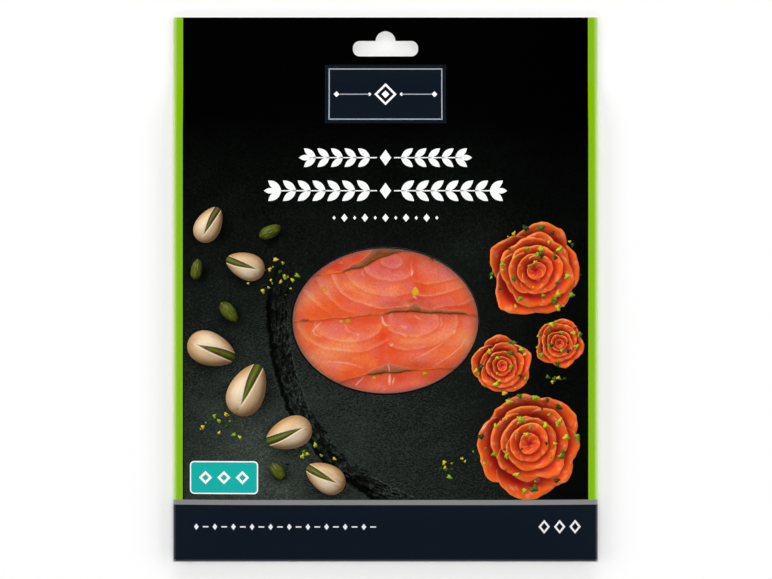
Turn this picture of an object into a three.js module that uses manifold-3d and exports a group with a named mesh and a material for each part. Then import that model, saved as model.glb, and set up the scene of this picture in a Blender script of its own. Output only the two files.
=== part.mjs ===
// A retail pack of smoked salmon: a folded board sleeve with an oval window and a hanging slot,
// the clear vacuum skin inside it, and four long slices laid like roof tiles, strewn with pistachio.
// The pack lies on its back. Millimetres, +Z up, +Y towards the hanging slot,
// origin at the centre of the back panel.
import * as THREE from "three";
import { mergeVertices } from "three/addons/utils/BufferGeometryUtils.js";
import Module from "manifold-3d";

const wasm = await Module();
wasm.setup();

// ---- Driving dimensions ----

// `crown` is the height over the fish, `edge` the thickness at the side folds, `header` that of the glued top.
const PACK = { width: 170, height: 218, crown: 8.8, edge: 4.2, header: 1.2 };
const BOARD = 0.5; // one layer of carton board
const FOLD = 2; // how far in from the outline a fold rounds the board
const CLEARANCE = 0.3; // air kept between touching pieces

// The front panel is level over the fish and falls away towards the side folds, the foot and the header.
const LEVEL_HALF_WIDTH = 40;
const FOOT_SLOPE = 27;
const HEAD_SLOPE = { from: 56, to: 84 };
const SIDE_PINCH = { from: 62, to: 86 };
const CAVITY_TOP = 80; // above this line the two panels are glued together

const WINDOW = { y: -12.5, halfWidth: 37, halfHeight: 28.9, segments: 72 };
const SLOT = { bottom: 93.4, barHeight: 6.2, barWidth: 26.2, corner: 2.8, humpTop: 103.5, humpRadius: 4 };

const FILM = { thickness: 0.3, halfWidth: 78, bottom: -88, top: 74 };
// The film's raised part over the fish, and how wide its sloping sides are.
const DOME = { halfWidth: 70, bottom: -67, top: 62, side: 7 };

// `lip` is a slice's thickness at its lower edge and `reach` the distance over which it thickens above the
// next slice, `end` its thickness where it lies alone, `room` the air over the flesh that the chips stand in.
const SLICE = { halfWidth: 67, corner: 9, rim: 1.1, lip: 0.9, reach: 6, end: 3.2, room: 0.9 };
// The lower edge of each slice from side to side, as [x, y] points, and where its midline meets that edge.
const SLICES = [
  { midline: 0, edge: [[-67, 1.5], [-36, 4.2], [-20, 6.7], [-9, 9], [0, 13.2], [14, 16], [44, 18], [67, 16.5]] },
  { midline: 12, edge: [[-67, -17], [-36, -12.9], [-12, -10.9], [6, -9.2], [20, -9.5], [36, -10.7], [67, -15]] },
  { midline: 2, edge: [[-67, -46.5], [-34, -41.6], [-10, -34.8], [7, -33], [24, -31.7], [44, -32.5], [67, -38]] },
  { midline: 3, edge: [[-67, -63], [-40, -62.5], [0, -60.5], [40, -60], [67, -57]] },
];
// The first slice comes down to lie alone at `alone` and ends at `end`; the last thins out from `thin` on.
const STACK = { alone: 38, end: 54, thin: -40 };

// Chopped pistachio that lies on the exposed flesh: slice, place, half length and the turn of its length.
const CHIPS = [
  { slice: 1, x: -24.5, y: 0.2, size: 1.1, turn: 60 },
  { slice: 1, x: 11.9, y: -0.7, size: 1.9, turn: 90 },
  { slice: 1, x: 18.4, y: 11.6, size: 1.0, turn: -30 },
  { slice: 2, x: -14.9, y: -12.4, size: 1.2, turn: 0 },
  { slice: 2, x: -17.7, y: -12.7, size: 0.9, turn: 20 },
  { slice: 3, x: -4.5, y: -35.3, size: 0.8, turn: 0 },
  { slice: 3, x: 15.7, y: -33.6, size: 1.1, turn: 15 },
];

const BOARD_FINISH = { color: 0x101414, roughness: 0.45, metalness: 0 };
const FILM_FINISH = { color: 0xe8eef0, roughness: 0.1, metalness: 0, transparent: true, opacity: 0.25 };
const FLESH_FINISH = { color: 0xe4684a, roughness: 0.35, metalness: 0 };

// ---- Small helpers ----

const clamp01 = (t) => Math.min(1, Math.max(0, t));
const mix = (a, b, t) => a + (b - a) * t;

/** 0 up to `from`, 1 beyond `to`, with a soft start and end. */
function ramp(value, from, to) {
  const t = clamp01((value - from) / (to - from));
  return t * t * (3 - 2 * t);
}

/** Rises at once and levels off, as bowed board does: 0 at t = 0, 1 and level at t = 1. */
const bow = (t) => 1 - (1 - clamp01(t)) ** 2;

/** Values from `from` to `to` in `count` equal steps, both ends included. */
const steps = (from, to, count) => Array.from({ length: count + 1 }, (_, i) => mix(from, to, i / count));

/** Distances in from an outline that draw a quarter-round rim. */
const rimSteps = (width, count) => steps(0, Math.PI / 2, count).map((angle) => width * (1 - Math.cos(angle)));

/** How full a rounded section is at a distance in from its outline: 0 on it, 1 where the rounding ends. */
const rimFill = (distance, width) => Math.sqrt(1 - (1 - clamp01(distance / width)) ** 2);

/** The values and their mirror images, in rising order, with `between` in the middle. */
const mirrored = (negatives, between) => [...negatives, ...between, ...negatives.map((v) => -v).reverse()];

/** A smooth line through points [x, y], by Catmull-Rom spans. */
function lineThrough(points, x) {
  const beyond = points.findIndex((point) => point[0] > x);
  const i = beyond < 0 ? points.length - 2 : Math.max(0, beyond - 1);
  const [start, end] = [points[i], points[i + 1]];
  const before = points[Math.max(0, i - 1)];
  const after = points[Math.min(points.length - 1, i + 2)];
  const width = end[0] - start[0];
  const startSlope = ((end[1] - before[1]) / (end[0] - before[0])) * width;
  const endSlope = ((after[1] - start[1]) / (after[0] - start[0])) * width;
  const t = clamp01((x - start[0]) / width);
  const turn = startSlope * t * (1 - t) ** 2 + endSlope * t * t * (t - 1);
  return mix(start[1], end[1], t * t * (3 - 2 * t)) + turn;
}

// ---- The sleeve's form ----

const half = { x: PACK.width / 2, y: PACK.height / 2 };

/** Thickness of the sleeve at its side folds: full below, pinched flat at the header. */
const edgeThickness = (y) => mix(PACK.edge, PACK.header, ramp(y, SIDE_PINCH.from, SIDE_PINCH.to));

/** Height of the front panel over the resting plane, before its folds are rounded. */
function frontHeight(x, y) {
  const sideways = bow((half.x - FOLD - Math.abs(x)) / (half.x - FOLD - LEVEL_HALF_WIDTH));
  const foot = bow((y + half.y - FOLD) / FOOT_SLOPE);
  const head = 1 - ramp(y, HEAD_SLOPE.from, HEAD_SLOPE.to);
  return edgeThickness(y) + (PACK.crown - PACK.edge) * sideways * foot * head;
}

/** Front and back faces of the sleeve, drawn in by `inset`: 0 for the outside, BOARD for the cavity. */
function sleeveFaces(x, y, inset) {
  const fromFold = Math.min(half.x - Math.abs(x), y + half.y) - inset;
  const fill = rimFill(fromFold, FOLD - inset);
  const middle = edgeThickness(y) / 2;
  return { top: mix(middle, frontHeight(x, y) - inset, fill), bottom: mix(middle, inset, fill) };
}

// ---- Meshes and solids ----

/** A geometry as a manifold solid, with the vertices at one place merged into one. */
function solidFrom(geometry) {
  const loose = geometry.index ? geometry.toNonIndexed() : geometry;
  const bare = new THREE.BufferGeometry().setAttribute("position", loose.getAttribute("position"));
  const merged = mergeVertices(bare, 1e-4);
  const vertProperties = new Float32Array(merged.attributes.position.array);
  const triVerts = new Uint32Array(merged.index.array);
  return new wasm.Manifold(new wasm.Mesh({ numProp: 3, vertProperties, triVerts }));
}

function geometryFrom(solid) {
  const { numVert, numProp, vertProperties, triVerts } = solid.getMesh();
  const positions = new Float32Array(numVert * 3);
  for (let i = 0; i < numVert; i++) positions.set(vertProperties.subarray(i * numProp, i * numProp + 3), i * 3);
  const geometry = new THREE.BufferGeometry();
  geometry.setAttribute("position", new THREE.BufferAttribute(positions, 3));
  geometry.setIndex(new THREE.BufferAttribute(triVerts, 1));
  geometry.computeVertexNormals();
  return geometry;
}

/**
 * A closed body between two height fields over a grid. `place(i, j)` gives x, y, top and bottom;
 * along the grid's border the two faces share one vertex, halfway between them.
 */
function bodyBetween(columns, rows, place) {
  const positions = [];
  const above = [];
  const below = [];
  for (let j = 0; j < rows; j++)
    for (let i = 0; i < columns; i++) {
      const { x, y, top, bottom } = place(i, j);
      const onBorder = i === 0 || j === 0 || i === columns - 1 || j === rows - 1;
      above.push(positions.length / 3);
      positions.push(x, y, onBorder ? (top + bottom) / 2 : top);
      below.push(onBorder ? above.at(-1) : positions.length / 3);
      if (!onBorder) positions.push(x, y, bottom);
    }
  const triangles = [];
  for (let j = 0; j < rows - 1; j++)
    for (let i = 0; i < columns - 1; i++) {
      const here = j * columns + i;
      const ring = [here, here + 1, here + columns + 1, here + columns];
      // Each diagonal leans towards the grid's nearest corner, so that no triangle has all of it on the border.
      const rising = i < (columns - 1) / 2 === j < (rows - 1) / 2;
      const halves = rising ? [[0, 1, 2], [0, 2, 3]] : [[0, 1, 3], [1, 2, 3]];
      for (const [a, b, c] of halves) {
        triangles.push(above[ring[a]], above[ring[b]], above[ring[c]]);
        triangles.push(below[ring[a]], below[ring[c]], below[ring[b]]);
      }
    }
  const geometry = new THREE.BufferGeometry();
  return geometry.setAttribute("position", new THREE.Float32BufferAttribute(positions, 3)).setIndex(triangles);
}

// ---- The sleeve ----

/** The sleeve's outside or its cavity as one block that reaches up to the line y = `end`. */
function sleeveBlock(inset, foldCount, slopeCount, end) {
  const fold = rimSteps(FOLD - inset, foldCount).map((distance) => inset + distance);
  const sideSlope = steps(-half.x + FOLD, -LEVEL_HALF_WIDTH, slopeCount).slice(1);
  const side = [...fold.map((distance) => -half.x + distance), ...sideSlope, -LEVEL_HALF_WIDTH / 2];
  const xs = mirrored(side, [0]);
  const footEnd = -half.y + FOLD + FOOT_SLOPE;
  const ys = [
    ...fold.map((distance) => -half.y + distance),
    ...steps(-half.y + FOLD, footEnd, 5).slice(1),
    ...steps(footEnd, HEAD_SLOPE.from, 4).slice(1),
    ...steps(HEAD_SLOPE.from, SIDE_PINCH.to, 8).slice(1).filter((y) => y < end - 1),
    end,
  ];
  return bodyBetween(xs.length, ys.length, (i, j) => {
    return { x: xs[i], y: ys[j], ...sleeveFaces(xs[i], ys[j], inset) };
  });
}

function windowCutter() {
  const oval = new THREE.Shape().absellipse(0, WINDOW.y, WINDOW.halfWidth, WINDOW.halfHeight, 0, 2 * Math.PI);
  const settings = { depth: PACK.crown, bevelEnabled: false, curveSegments: WINDOW.segments };
  return new THREE.ExtrudeGeometry(oval, settings).translate(0, 0, PACK.crown / 2);
}

/** The hanging slot: a bar with round corners and a round hump over its middle. */
function slotCutter() {
  const { bottom, corner, humpRadius } = SLOT;
  const right = SLOT.barWidth / 2;
  const barTop = bottom + SLOT.barHeight;
  const humpCentre = SLOT.humpTop - humpRadius;
  const humpStart = Math.asin((barTop - humpCentre) / humpRadius);
  const [up, left, down, turn] = [Math.PI / 2, Math.PI, 1.5 * Math.PI, 2 * Math.PI];
  const slot = new THREE.Shape()
    .absarc(right - corner, bottom + corner, corner, down, turn)
    .absarc(right - corner, barTop - corner, corner, 0, up)
    .absarc(0, humpCentre, humpRadius, humpStart, Math.PI - humpStart)
    .absarc(-right + corner, barTop - corner, corner, up, left)
    .absarc(-right + corner, bottom + corner, corner, left, down);
  const settings = { depth: 2 * PACK.crown, bevelEnabled: false, curveSegments: 8 };
  return new THREE.ExtrudeGeometry(slot, settings).translate(0, 0, -PACK.crown / 2);
}

function sleeve() {
  const excess = 3; // the block runs past the header's cut edge, which the trim then makes square
  const outside = solidFrom(sleeveBlock(0, 4, 5, half.y + excess));
  const trim = new THREE.BoxGeometry(2 * PACK.width, 2 * excess, 4 * PACK.crown);
  const cutters = [
    sleeveBlock(BOARD, 2, 5, CAVITY_TOP),
    trim.translate(0, half.y + excess, 0),
    windowCutter(),
    slotCutter(),
  ];
  return geometryFrom(cutters.reduce((body, cutter) => body.subtract(solidFrom(cutter)), outside));
}

// ---- The vacuum skin ----

/** Upper face of the film: flat on its seal all round, and just under the front panel over the fish. */
function filmTop(x, y) {
  const seal = BOARD + CLEARANCE + FILM.thickness;
  const across = 1 - ramp(Math.abs(x), DOME.halfWidth, DOME.halfWidth + DOME.side);
  const foot = ramp(y, DOME.bottom - DOME.side, DOME.bottom);
  const head = 1 - ramp(y, DOME.top, DOME.top + DOME.side);
  return mix(seal, frontHeight(x, y) - BOARD - CLEARANCE, across * foot * head);
}

function film() {
  const side = [-FILM.halfWidth - 1, ...steps(-FILM.halfWidth, -DOME.halfWidth, 3), ...steps(-60, -20, 4)];
  const xs = mirrored(side, [0]);
  const ys = [
    FILM.bottom,
    ...steps(DOME.bottom - DOME.side, DOME.bottom, 3),
    ...steps(-50, 50, 8),
    ...steps(DOME.top - 4, DOME.top + DOME.side, 4),
    FILM.top,
  ];
  return bodyBetween(xs.length, ys.length, (i, j) => {
    const top = filmTop(xs[i], ys[j]);
    return { x: xs[i], y: ys[j], top, bottom: top - FILM.thickness };
  });
}

// ---- The slices ----

const FLOOR = BOARD + CLEARANCE; // what the slices lie on

/** How high the flesh reaches: under the film, with room for the chips. */
const fleshCeiling = (x, y) => frontHeight(x, y) - BOARD - CLEARANCE - FILM.thickness - SLICE.room;

/** Lower edge of slice k; above the first slice it is the line where that slice comes to lie alone. */
const edgeLine = (k, x) => (k < 0 ? STACK.alone : lineThrough(SLICES[k].edge, x));

/** Upper end of slice k, hidden under its neighbours. */
const farEnd = (k, x) => (k < 1 ? STACK.end : edgeLine(k - 2, x) - 2.5);

/**
 * The face between slice k and the slice tucked under it: from just under the lip it dives to mid depth,
 * runs level, and comes down to the back panel before slice k passes under the slice above.
 */
function tuckFace(k, x, y) {
  const ceiling = fleshCeiling(x, y);
  const dived = ramp(y - edgeLine(k, x), 0, SLICE.reach);
  const landed = ramp(y - edgeLine(k - 1, x), -SLICE.reach - 1, -1);
  return mix(mix(ceiling - SLICE.lip, (FLOOR + ceiling) / 2, dived), FLOOR, landed);
}

/** Shallow ring furrows of the muscle flakes on each side of the midline. */
function flakeFurrows(k, x, y) {
  const side = x < SLICES[k].midline ? -1 : 1;
  const across = (x - SLICES[k].midline - 16 * side) / 1.5;
  const along = y - edgeLine(k, x) - 15;
  return 0.08 * (1 - Math.cos(0.9 * Math.hypot(across, along)));
}

/** Upper face of slice k where it is bare: it dips beside the slice above and thins at the stack's ends. */
function bareTop(k, x, y) {
  const ceiling = fleshCeiling(x, y);
  const alone = Math.min(FLOOR + SLICE.end, ceiling);
  let thinned = 0;
  if (k === 0) thinned = ramp(y, STACK.alone - 6, STACK.alone + 6);
  if (k === SLICES.length - 1) thinned = ramp(STACK.thin - y, 0, 14);
  const dip = k > 0 ? 1 - ramp(edgeLine(k - 1, x) - y, 0, 12) : 0;
  return mix(ceiling, alone, thinned) - 0.9 * SLICE.lip * dip - flakeFurrows(k, x, y);
}

/** Upper and lower faces of slice k before its rim is rounded. */
function sliceFaces(k, x, y) {
  const covered = k > 0 && y > edgeLine(k - 1, x);
  const top = covered ? tuckFace(k - 1, x, y) - CLEARANCE : bareTop(k, x, y);
  const bottom = k === SLICES.length - 1 ? FLOOR : tuckFace(k, x, y);
  return { top: Math.max(top, bottom + 0.1), bottom };
}

/** The y of a slice's grid rows at x: they follow its own edge, the edge above it and its far end. */
function sliceRows(k, x) {
  const { rim, reach } = SLICE;
  const [low, above, high] = [edgeLine(k, x), edgeLine(k - 1, x), farEnd(k, x)];
  const fromEdge = [...rimSteps(rim, 2), 2.6, 4.2, reach];
  const bare = steps(low + reach, above - reach - 1, 3).slice(1);
  const crossing = k > 0 ? [-4.6, -2.6, -1, 0, 1.1, 2.6, 4.2, reach].map((d) => above + d) : [above];
  const tail = steps(crossing.at(-1), high - rim, 3).slice(1, 3);
  const end = rimSteps(rim, 2).map((distance) => high - distance);
  return [...fromEdge.map((distance) => low + distance), ...bare, ...crossing, ...tail, ...end.reverse()];
}

function sliceBody(k) {
  const { rim, halfWidth, corner } = SLICE;
  const ends = [...rimSteps(rim, 2), 3, 5.5, corner].map((distance) => -halfWidth + distance);
  const xs = mirrored([...ends, -46], steps(-37, 37, 11));
  return bodyBetween(xs.length, sliceRows(k, 0).length, (i, j) => {
    const x = xs[i];
    const rows = sliceRows(k, x);
    const [low, high] = [rows[0], rows.at(-1)];
    // The four corners are rounded: the rows draw in towards the slice's middle as they near its ends.
    const middleRow = (low + high) / 2;
    const past = clamp01(1 - (halfWidth - Math.abs(x)) / corner);
    const drawnIn = (corner * (1 - Math.sqrt(1 - past ** 2))) / (high - low);
    const y = mix(rows[j], middleRow, drawnIn);
    const fill = rimFill(Math.min(halfWidth - Math.abs(x), rows[j] - low, high - rows[j]), rim);
    const { top, bottom } = sliceFaces(k, x, y);
    const middle = (top + bottom) / 2;
    return { x, y, top: mix(middle, top, fill), bottom: mix(middle, bottom, fill) };
  });
}

/** One chip of pistachio: a squat faceted nugget pressed into the flesh. */
function chip({ slice, x, y, size, turn }) {
  const rise = Math.min(0.6 * size, SLICE.room - CLEARANCE);
  const nugget = new THREE.IcosahedronGeometry(1, 0).scale(size, 0.78 * size, rise / 0.85);
  return nugget.rotateZ(THREE.MathUtils.degToRad(turn)).translate(x, y, bareTop(slice, x, y));
}

function slice(k) {
  const chips = CHIPS.filter((item) => item.slice === k);
  return geometryFrom(chips.reduce((body, item) => body.add(solidFrom(chip(item))), solidFrom(sliceBody(k))));
}

// ---- The pack ----

function addPiece(group, name, geometry, finish) {
  const mesh = new THREE.Mesh(geometry, new THREE.MeshStandardMaterial(finish));
  mesh.name = name;
  group.add(mesh);
}

const pack = new THREE.Group();
addPiece(pack, "sleeve", sleeve(), BOARD_FINISH);
addPiece(pack, "skin_film", film(), FILM_FINISH);
SLICES.forEach((_, k) => addPiece(pack, `slice_${k + 1}`, slice(k), FLESH_FINISH));

export default pack;
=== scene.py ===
"""Looks of a retail pack of smoked salmon: printed sleeve, slices, chopped pistachio, clear film.

Lengths are millimetres until a mesh is made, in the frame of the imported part: +Z up out of the
printed front, +Y towards the hanging slot, origin at the centre of the back panel.
"""
import math

import bmesh
import bpy
import numpy as np
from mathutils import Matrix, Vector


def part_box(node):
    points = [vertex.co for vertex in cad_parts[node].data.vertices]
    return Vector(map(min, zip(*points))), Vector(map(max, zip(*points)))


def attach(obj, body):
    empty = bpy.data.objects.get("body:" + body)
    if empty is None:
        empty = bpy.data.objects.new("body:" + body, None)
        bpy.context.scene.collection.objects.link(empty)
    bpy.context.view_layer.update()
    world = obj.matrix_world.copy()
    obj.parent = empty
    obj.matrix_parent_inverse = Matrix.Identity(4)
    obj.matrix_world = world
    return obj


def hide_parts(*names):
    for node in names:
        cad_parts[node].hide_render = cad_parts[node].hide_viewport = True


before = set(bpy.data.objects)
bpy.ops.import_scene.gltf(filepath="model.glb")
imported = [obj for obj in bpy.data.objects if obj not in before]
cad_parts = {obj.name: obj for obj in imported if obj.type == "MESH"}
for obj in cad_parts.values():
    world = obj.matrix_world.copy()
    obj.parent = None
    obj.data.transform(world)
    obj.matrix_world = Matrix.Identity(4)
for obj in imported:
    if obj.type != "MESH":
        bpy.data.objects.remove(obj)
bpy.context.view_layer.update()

MM = 0.001

# ---- Sizes of the pack, the same as in the part's source ----

sleeve_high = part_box("sleeve")[1] / MM
HALF_WIDTH = sleeve_high.x
HALF_HEIGHT = sleeve_high.y
CROWN = sleeve_high.z  # height over the fish
EDGE = 4.2  # thickness at the side folds
HEADER = 1.2  # thickness of the glued top
BOARD = 0.5
FOLD = 2.0
CLEARANCE = 0.3

LEVEL_HALF_WIDTH = 40.0
FOOT_SLOPE = 27.0
HEAD_SLOPE = (56.0, 84.0)
SIDE_PINCH = (62.0, 86.0)
CAVITY_TOP = 80.0

WINDOW_Y = -12.5
WINDOW_HALF_WIDTH = 37.0
WINDOW_HALF_HEIGHT = 28.9

SLOT_BOTTOM = 93.4
SLOT_BAR = (26.2, 6.2)
SLOT_CORNER = 2.8
SLOT_HUMP_TOP = 103.5
SLOT_HUMP_RADIUS = 4.0

FILM_THICKNESS = 0.3
FILM_GAP = 0.12  # between the film and the fish that it is drawn down on
FILM_BRIDGE = 2.4  # distance over which it bridges the step between two slices
FILM_HALF_WIDTH = 78.0
FILM_ENDS = (-88.0, 74.0)
DOME_HALF_WIDTH = 70.0
DOME_ENDS = (-67.0, 62.0)
DOME_SIDE = 7.0

SLICE_HALF_WIDTH = 67.0
SLICE_CORNER = 9.0
SLICE_RIM = 1.1
LIP = 0.9  # thickness of a slice at its lower edge
REACH = 6.0  # distance over which it thickens above the next slice
SLICE_END = 3.2
FILM_ROOM = 0.9
STACK_ALONE = 38.0
STACK_END = 54.0
STACK_THIN = -40.0

# Lower edge of each slice from side to side, as (x, y).
SLICE_EDGES = (
    ((-67, 1.5), (-36, 4.2), (-20, 6.7), (-9, 9), (0, 13.2), (14, 16), (44, 18), (67, 16.5)),
    ((-67, -17), (-36, -12.9), (-12, -10.9), (6, -9.2), (20, -9.5), (36, -10.7), (67, -15)),
    ((-67, -46.5), (-34, -41.6), (-10, -34.8), (7, -33), (24, -31.7), (44, -32.5), (67, -38)),
    ((-67, -63), (-40, -62.5), (0, -60.5), (40, -60), (67, -57)),
)

# Chips of pistachio: slice, x, y, half length, turn of the length in degrees, and colour.
CHIPS = (
    (1, -24.5, 0.2, 1.1, 60, "#F29A24"),
    (1, 11.9, -0.7, 1.9, 90, "#EDAE2C"),
    (1, 18.4, 11.6, 1.0, -30, "#C0702A"),
    (2, -14.9, -12.4, 1.2, 0, "#D2A008"),
    (2, -17.7, -12.7, 0.9, 20, "#F0A040"),
    (3, -4.5, -35.3, 0.8, 0, "#E8B01E"),
    (3, 15.7, -33.6, 1.1, 15, "#D8A408"),
)

# ---- Arithmetic on whole arrays ----


def mix(start, end, share):
    """Straight blend from start to end."""
    return start + (end - start) * share


def ramp(value, start, end):
    """0 up to start, 1 beyond end, with a soft start and end: t squared times (3 - 2t)."""
    t = np.clip((value - start) / (end - start), 0, 1)
    return t * t * (3 - 2 * t)


def bow(t):
    """Rises at once and levels off: one minus the square of what is left to 1."""
    return 1 - (1 - np.clip(t, 0, 1)) ** 2


def bell(distance, width):
    """1 at distance 0, falling off on both sides as exp(-(distance / width) squared)."""
    return np.exp(-((distance / width) ** 2))


def rim_steps(width, count):
    """Distances in from an outline that draw a quarter-round rim: width times (1 - cos angle)."""
    return width * (1 - np.cos(np.linspace(0, math.pi / 2, count + 1)))


def rim_fill(distance, width):
    """How full a rounded section is a distance in from its outline: a quarter circle from 0 to 1."""
    return np.sqrt(1 - (1 - np.clip(distance / width, 0, 1)) ** 2)


def mirrored(negatives, between):
    """The values, those between, and the mirror image of the first ones."""
    return np.concatenate([negatives, between, -np.asarray(negatives)[::-1]])


def hashed(i, j, seed):
    """A fixed number from 0 to 1 for each lattice point: the fraction of a large mixed sine."""
    mixed = np.sin(i * 127.1 + j * 311.7 + seed * 74.7) * 43758.5453
    return mixed - np.floor(mixed)


def value_noise(x, y, size, seed):
    """Smooth noise from -1 to 1: hashed lattice values `size` apart, blended softly between."""
    i, j = np.floor(x / size), np.floor(y / size)
    u, v = ramp(x / size - i, 0, 1), ramp(y / size - j, 0, 1)
    low = mix(hashed(i, j, seed), hashed(i + 1, j, seed), u)
    high = mix(hashed(i, j + 1, seed), hashed(i + 1, j + 1, seed), u)
    return 2 * mix(low, high, v) - 1


def cloud(x, y, size, seed, octaves=3):
    """Noise of several sizes, each half as large and half as strong as the one before."""
    layers = [value_noise(x, y, size / 2**n, seed + n) / 2**n for n in range(octaves)]
    return sum(layers) / sum(0.5**n for n in range(octaves))


def line_through(points, x):
    """A smooth line through points (x, y), by Catmull-Rom spans."""
    px, py = np.array(points, float).T
    last = len(px) - 1
    number = np.arange(last + 1)
    before, after = np.maximum(number - 1, 0), np.minimum(number + 1, last)
    slope = (py[after] - py[before]) / (px[after] - px[before])
    i = np.clip(np.searchsorted(px, x, side="right") - 1, 0, last - 1)
    width = px[i + 1] - px[i]
    t = np.clip((x - px[i]) / width, 0, 1)
    turn = width * (slope[i] * t * (1 - t) ** 2 + slope[i + 1] * t * t * (t - 1))
    return mix(py[i], py[i + 1], t * t * (3 - 2 * t)) + turn


def distance_to_line(x, y, points):
    """Shortest distance from each (x, y) to a line of straight stretches.

    Also gives the share of the way along the line at which that point is nearest."""
    nearest, share = np.full(np.shape(x), 1e9), np.zeros(np.shape(x))
    for n, ((x0, y0), (x1, y1)) in enumerate(zip(points, points[1:])):
        length2 = (x1 - x0) ** 2 + (y1 - y0) ** 2
        t = np.clip(((x - x0) * (x1 - x0) + (y - y0) * (y1 - y0)) / length2, 0, 1)
        distance = np.hypot(x - x0 - t * (x1 - x0), y - y0 - t * (y1 - y0))
        share = np.where(distance < nearest, (n + t) / (len(points) - 1), share)
        nearest = np.minimum(nearest, distance)
    return nearest, share


# ---- Colours ----


def linear(hex_colour):
    """An sRGB hex colour as linear red, green and blue."""
    value = np.array([int(hex_colour[i : i + 2], 16) for i in (1, 3, 5)]) / 255
    return np.where(value <= 0.04045, value / 12.92, ((value + 0.055) / 1.055) ** 2.4)


def all_over(hex_colour, field):
    """One colour for every place of a field."""
    return np.broadcast_to(linear(hex_colour), (*field.shape, 3))


def tinted(colours, *washes):
    """Blends an array of colours towards each wash, a hex colour and a share that varies, in turn."""
    for hex_colour, share in washes:
        colours = mix(colours, linear(hex_colour), np.clip(share, 0, 1)[..., None])
    return colours


# ---- Meshes ----


def grid_quads(index):
    """The faces of a grid of vertex numbers, counterclockwise as seen from above."""
    corners = (index[:-1, :-1], index[:-1, 1:], index[1:, 1:], index[1:, :-1])
    return np.stack(corners, -1).reshape(-1, 4)


def body_between(x, y, top, bottom):
    """Points and faces of a closed body between two height fields on one grid.

    On the grid's border both faces share their vertices, halfway between the two heights."""
    rows, columns = x.shape
    inner = np.zeros((rows, columns), bool)
    inner[1:-1, 1:-1] = True
    above = np.arange(rows * columns).reshape(rows, columns)
    below = above.copy()
    below[inner] = rows * columns + np.arange(inner.sum())
    upper = np.stack([x, y, np.where(inner, top, (top + bottom) / 2)], -1).reshape(-1, 3)
    lower = np.stack([x, y, bottom], -1)[inner]
    faces = np.concatenate([grid_quads(above), grid_quads(below)[:, ::-1]])
    return np.concatenate([upper, lower]), faces


def paint(mesh, colours):
    """Keeps a linear colour for each point as the attribute that the materials read."""
    opaque = np.column_stack([colours, np.ones(len(colours))])
    tint = mesh.attributes.new("tint", "FLOAT_COLOR", "POINT")
    tint.data.foreach_set("color", opaque.ravel())


def new_mesh(name, points, faces, colours=None):
    """A smooth-shaded mesh from points in millimetres, faces, and a linear colour for each point."""
    mesh = bpy.data.meshes.new(name)
    mesh.from_pydata(np.asarray(points) * MM, [], [list(face) for face in faces])
    if colours is not None:
        paint(mesh, colours)
    mesh.shade_smooth()
    return mesh


def into_scene(name, data):
    """A new object of the scene that holds a mesh, a light or a camera."""
    made = bpy.data.objects.new(name, data)
    bpy.context.scene.collection.objects.link(made)
    return made


def add_piece(name, mesh, material, node=None):
    """Puts a mesh into the scene as a piece that rides on the pack, and may stand for a node."""
    piece = into_scene(name, mesh)
    mesh.materials.append(material)
    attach(piece, "root")
    if node:
        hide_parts(node)
    return piece


# ---- Materials ----


def new_material(name):
    """A material whose nodes are still to be added."""
    material = bpy.data.materials.new(name)
    material.use_nodes = True
    material.node_tree.nodes.clear()
    return material


def add(tree, kind, inputs=(), **settings):
    """Adds a node with its settings, and sets or links its inputs."""
    node = tree.nodes.new(kind)
    for key, value in settings.items():
        setattr(node, key, value)
    for name, value in dict(inputs).items():
        if isinstance(value, bpy.types.NodeSocket):
            tree.links.new(value, node.inputs[name])
        else:
            node.inputs[name].default_value = value
    return node


def rgba(hex_colour):
    """A hex colour as a colour socket takes it."""
    return (*linear(hex_colour), 1)


def finish_surface(tree, colour, **inputs):
    """The shader and output of a material; colour is a socket or an sRGB hex colour."""
    base = colour if isinstance(colour, bpy.types.NodeSocket) else rgba(colour)
    values = {name.replace("_", " "): value for name, value in inputs.items()}
    shader = add(tree, "ShaderNodeBsdfPrincipled", {"Base Color": base, **values})
    add(tree, "ShaderNodeOutputMaterial", {"Surface": shader.outputs["BSDF"]})


NAVY = "#101922"
PRINT_BLUR = 0.12  # width over which one printed colour ends and the next begins
# Print outside the picture, one over the other: distances from the pack's middle at which it begins
# and ends, its colour, and the blur where it begins. The pale green past 84.2 mm is no print but a
# painted highlight along the fold.
SIDE_STRIPES_AND_SHEEN = (
    (81.1, None, "#82B802", PRINT_BLUR),
    # painted highlight: the green stripe turns pale over the rounded fold
    (84.2, None, "#C4DC90", 1.7),
    (80.6, 81.1, "#020402", PRINT_BLUR),
)
FOOT_BANDS = ((84.0, None, "#858585", PRINT_BLUR), (86.0, None, NAVY, PRINT_BLUR))


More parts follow.
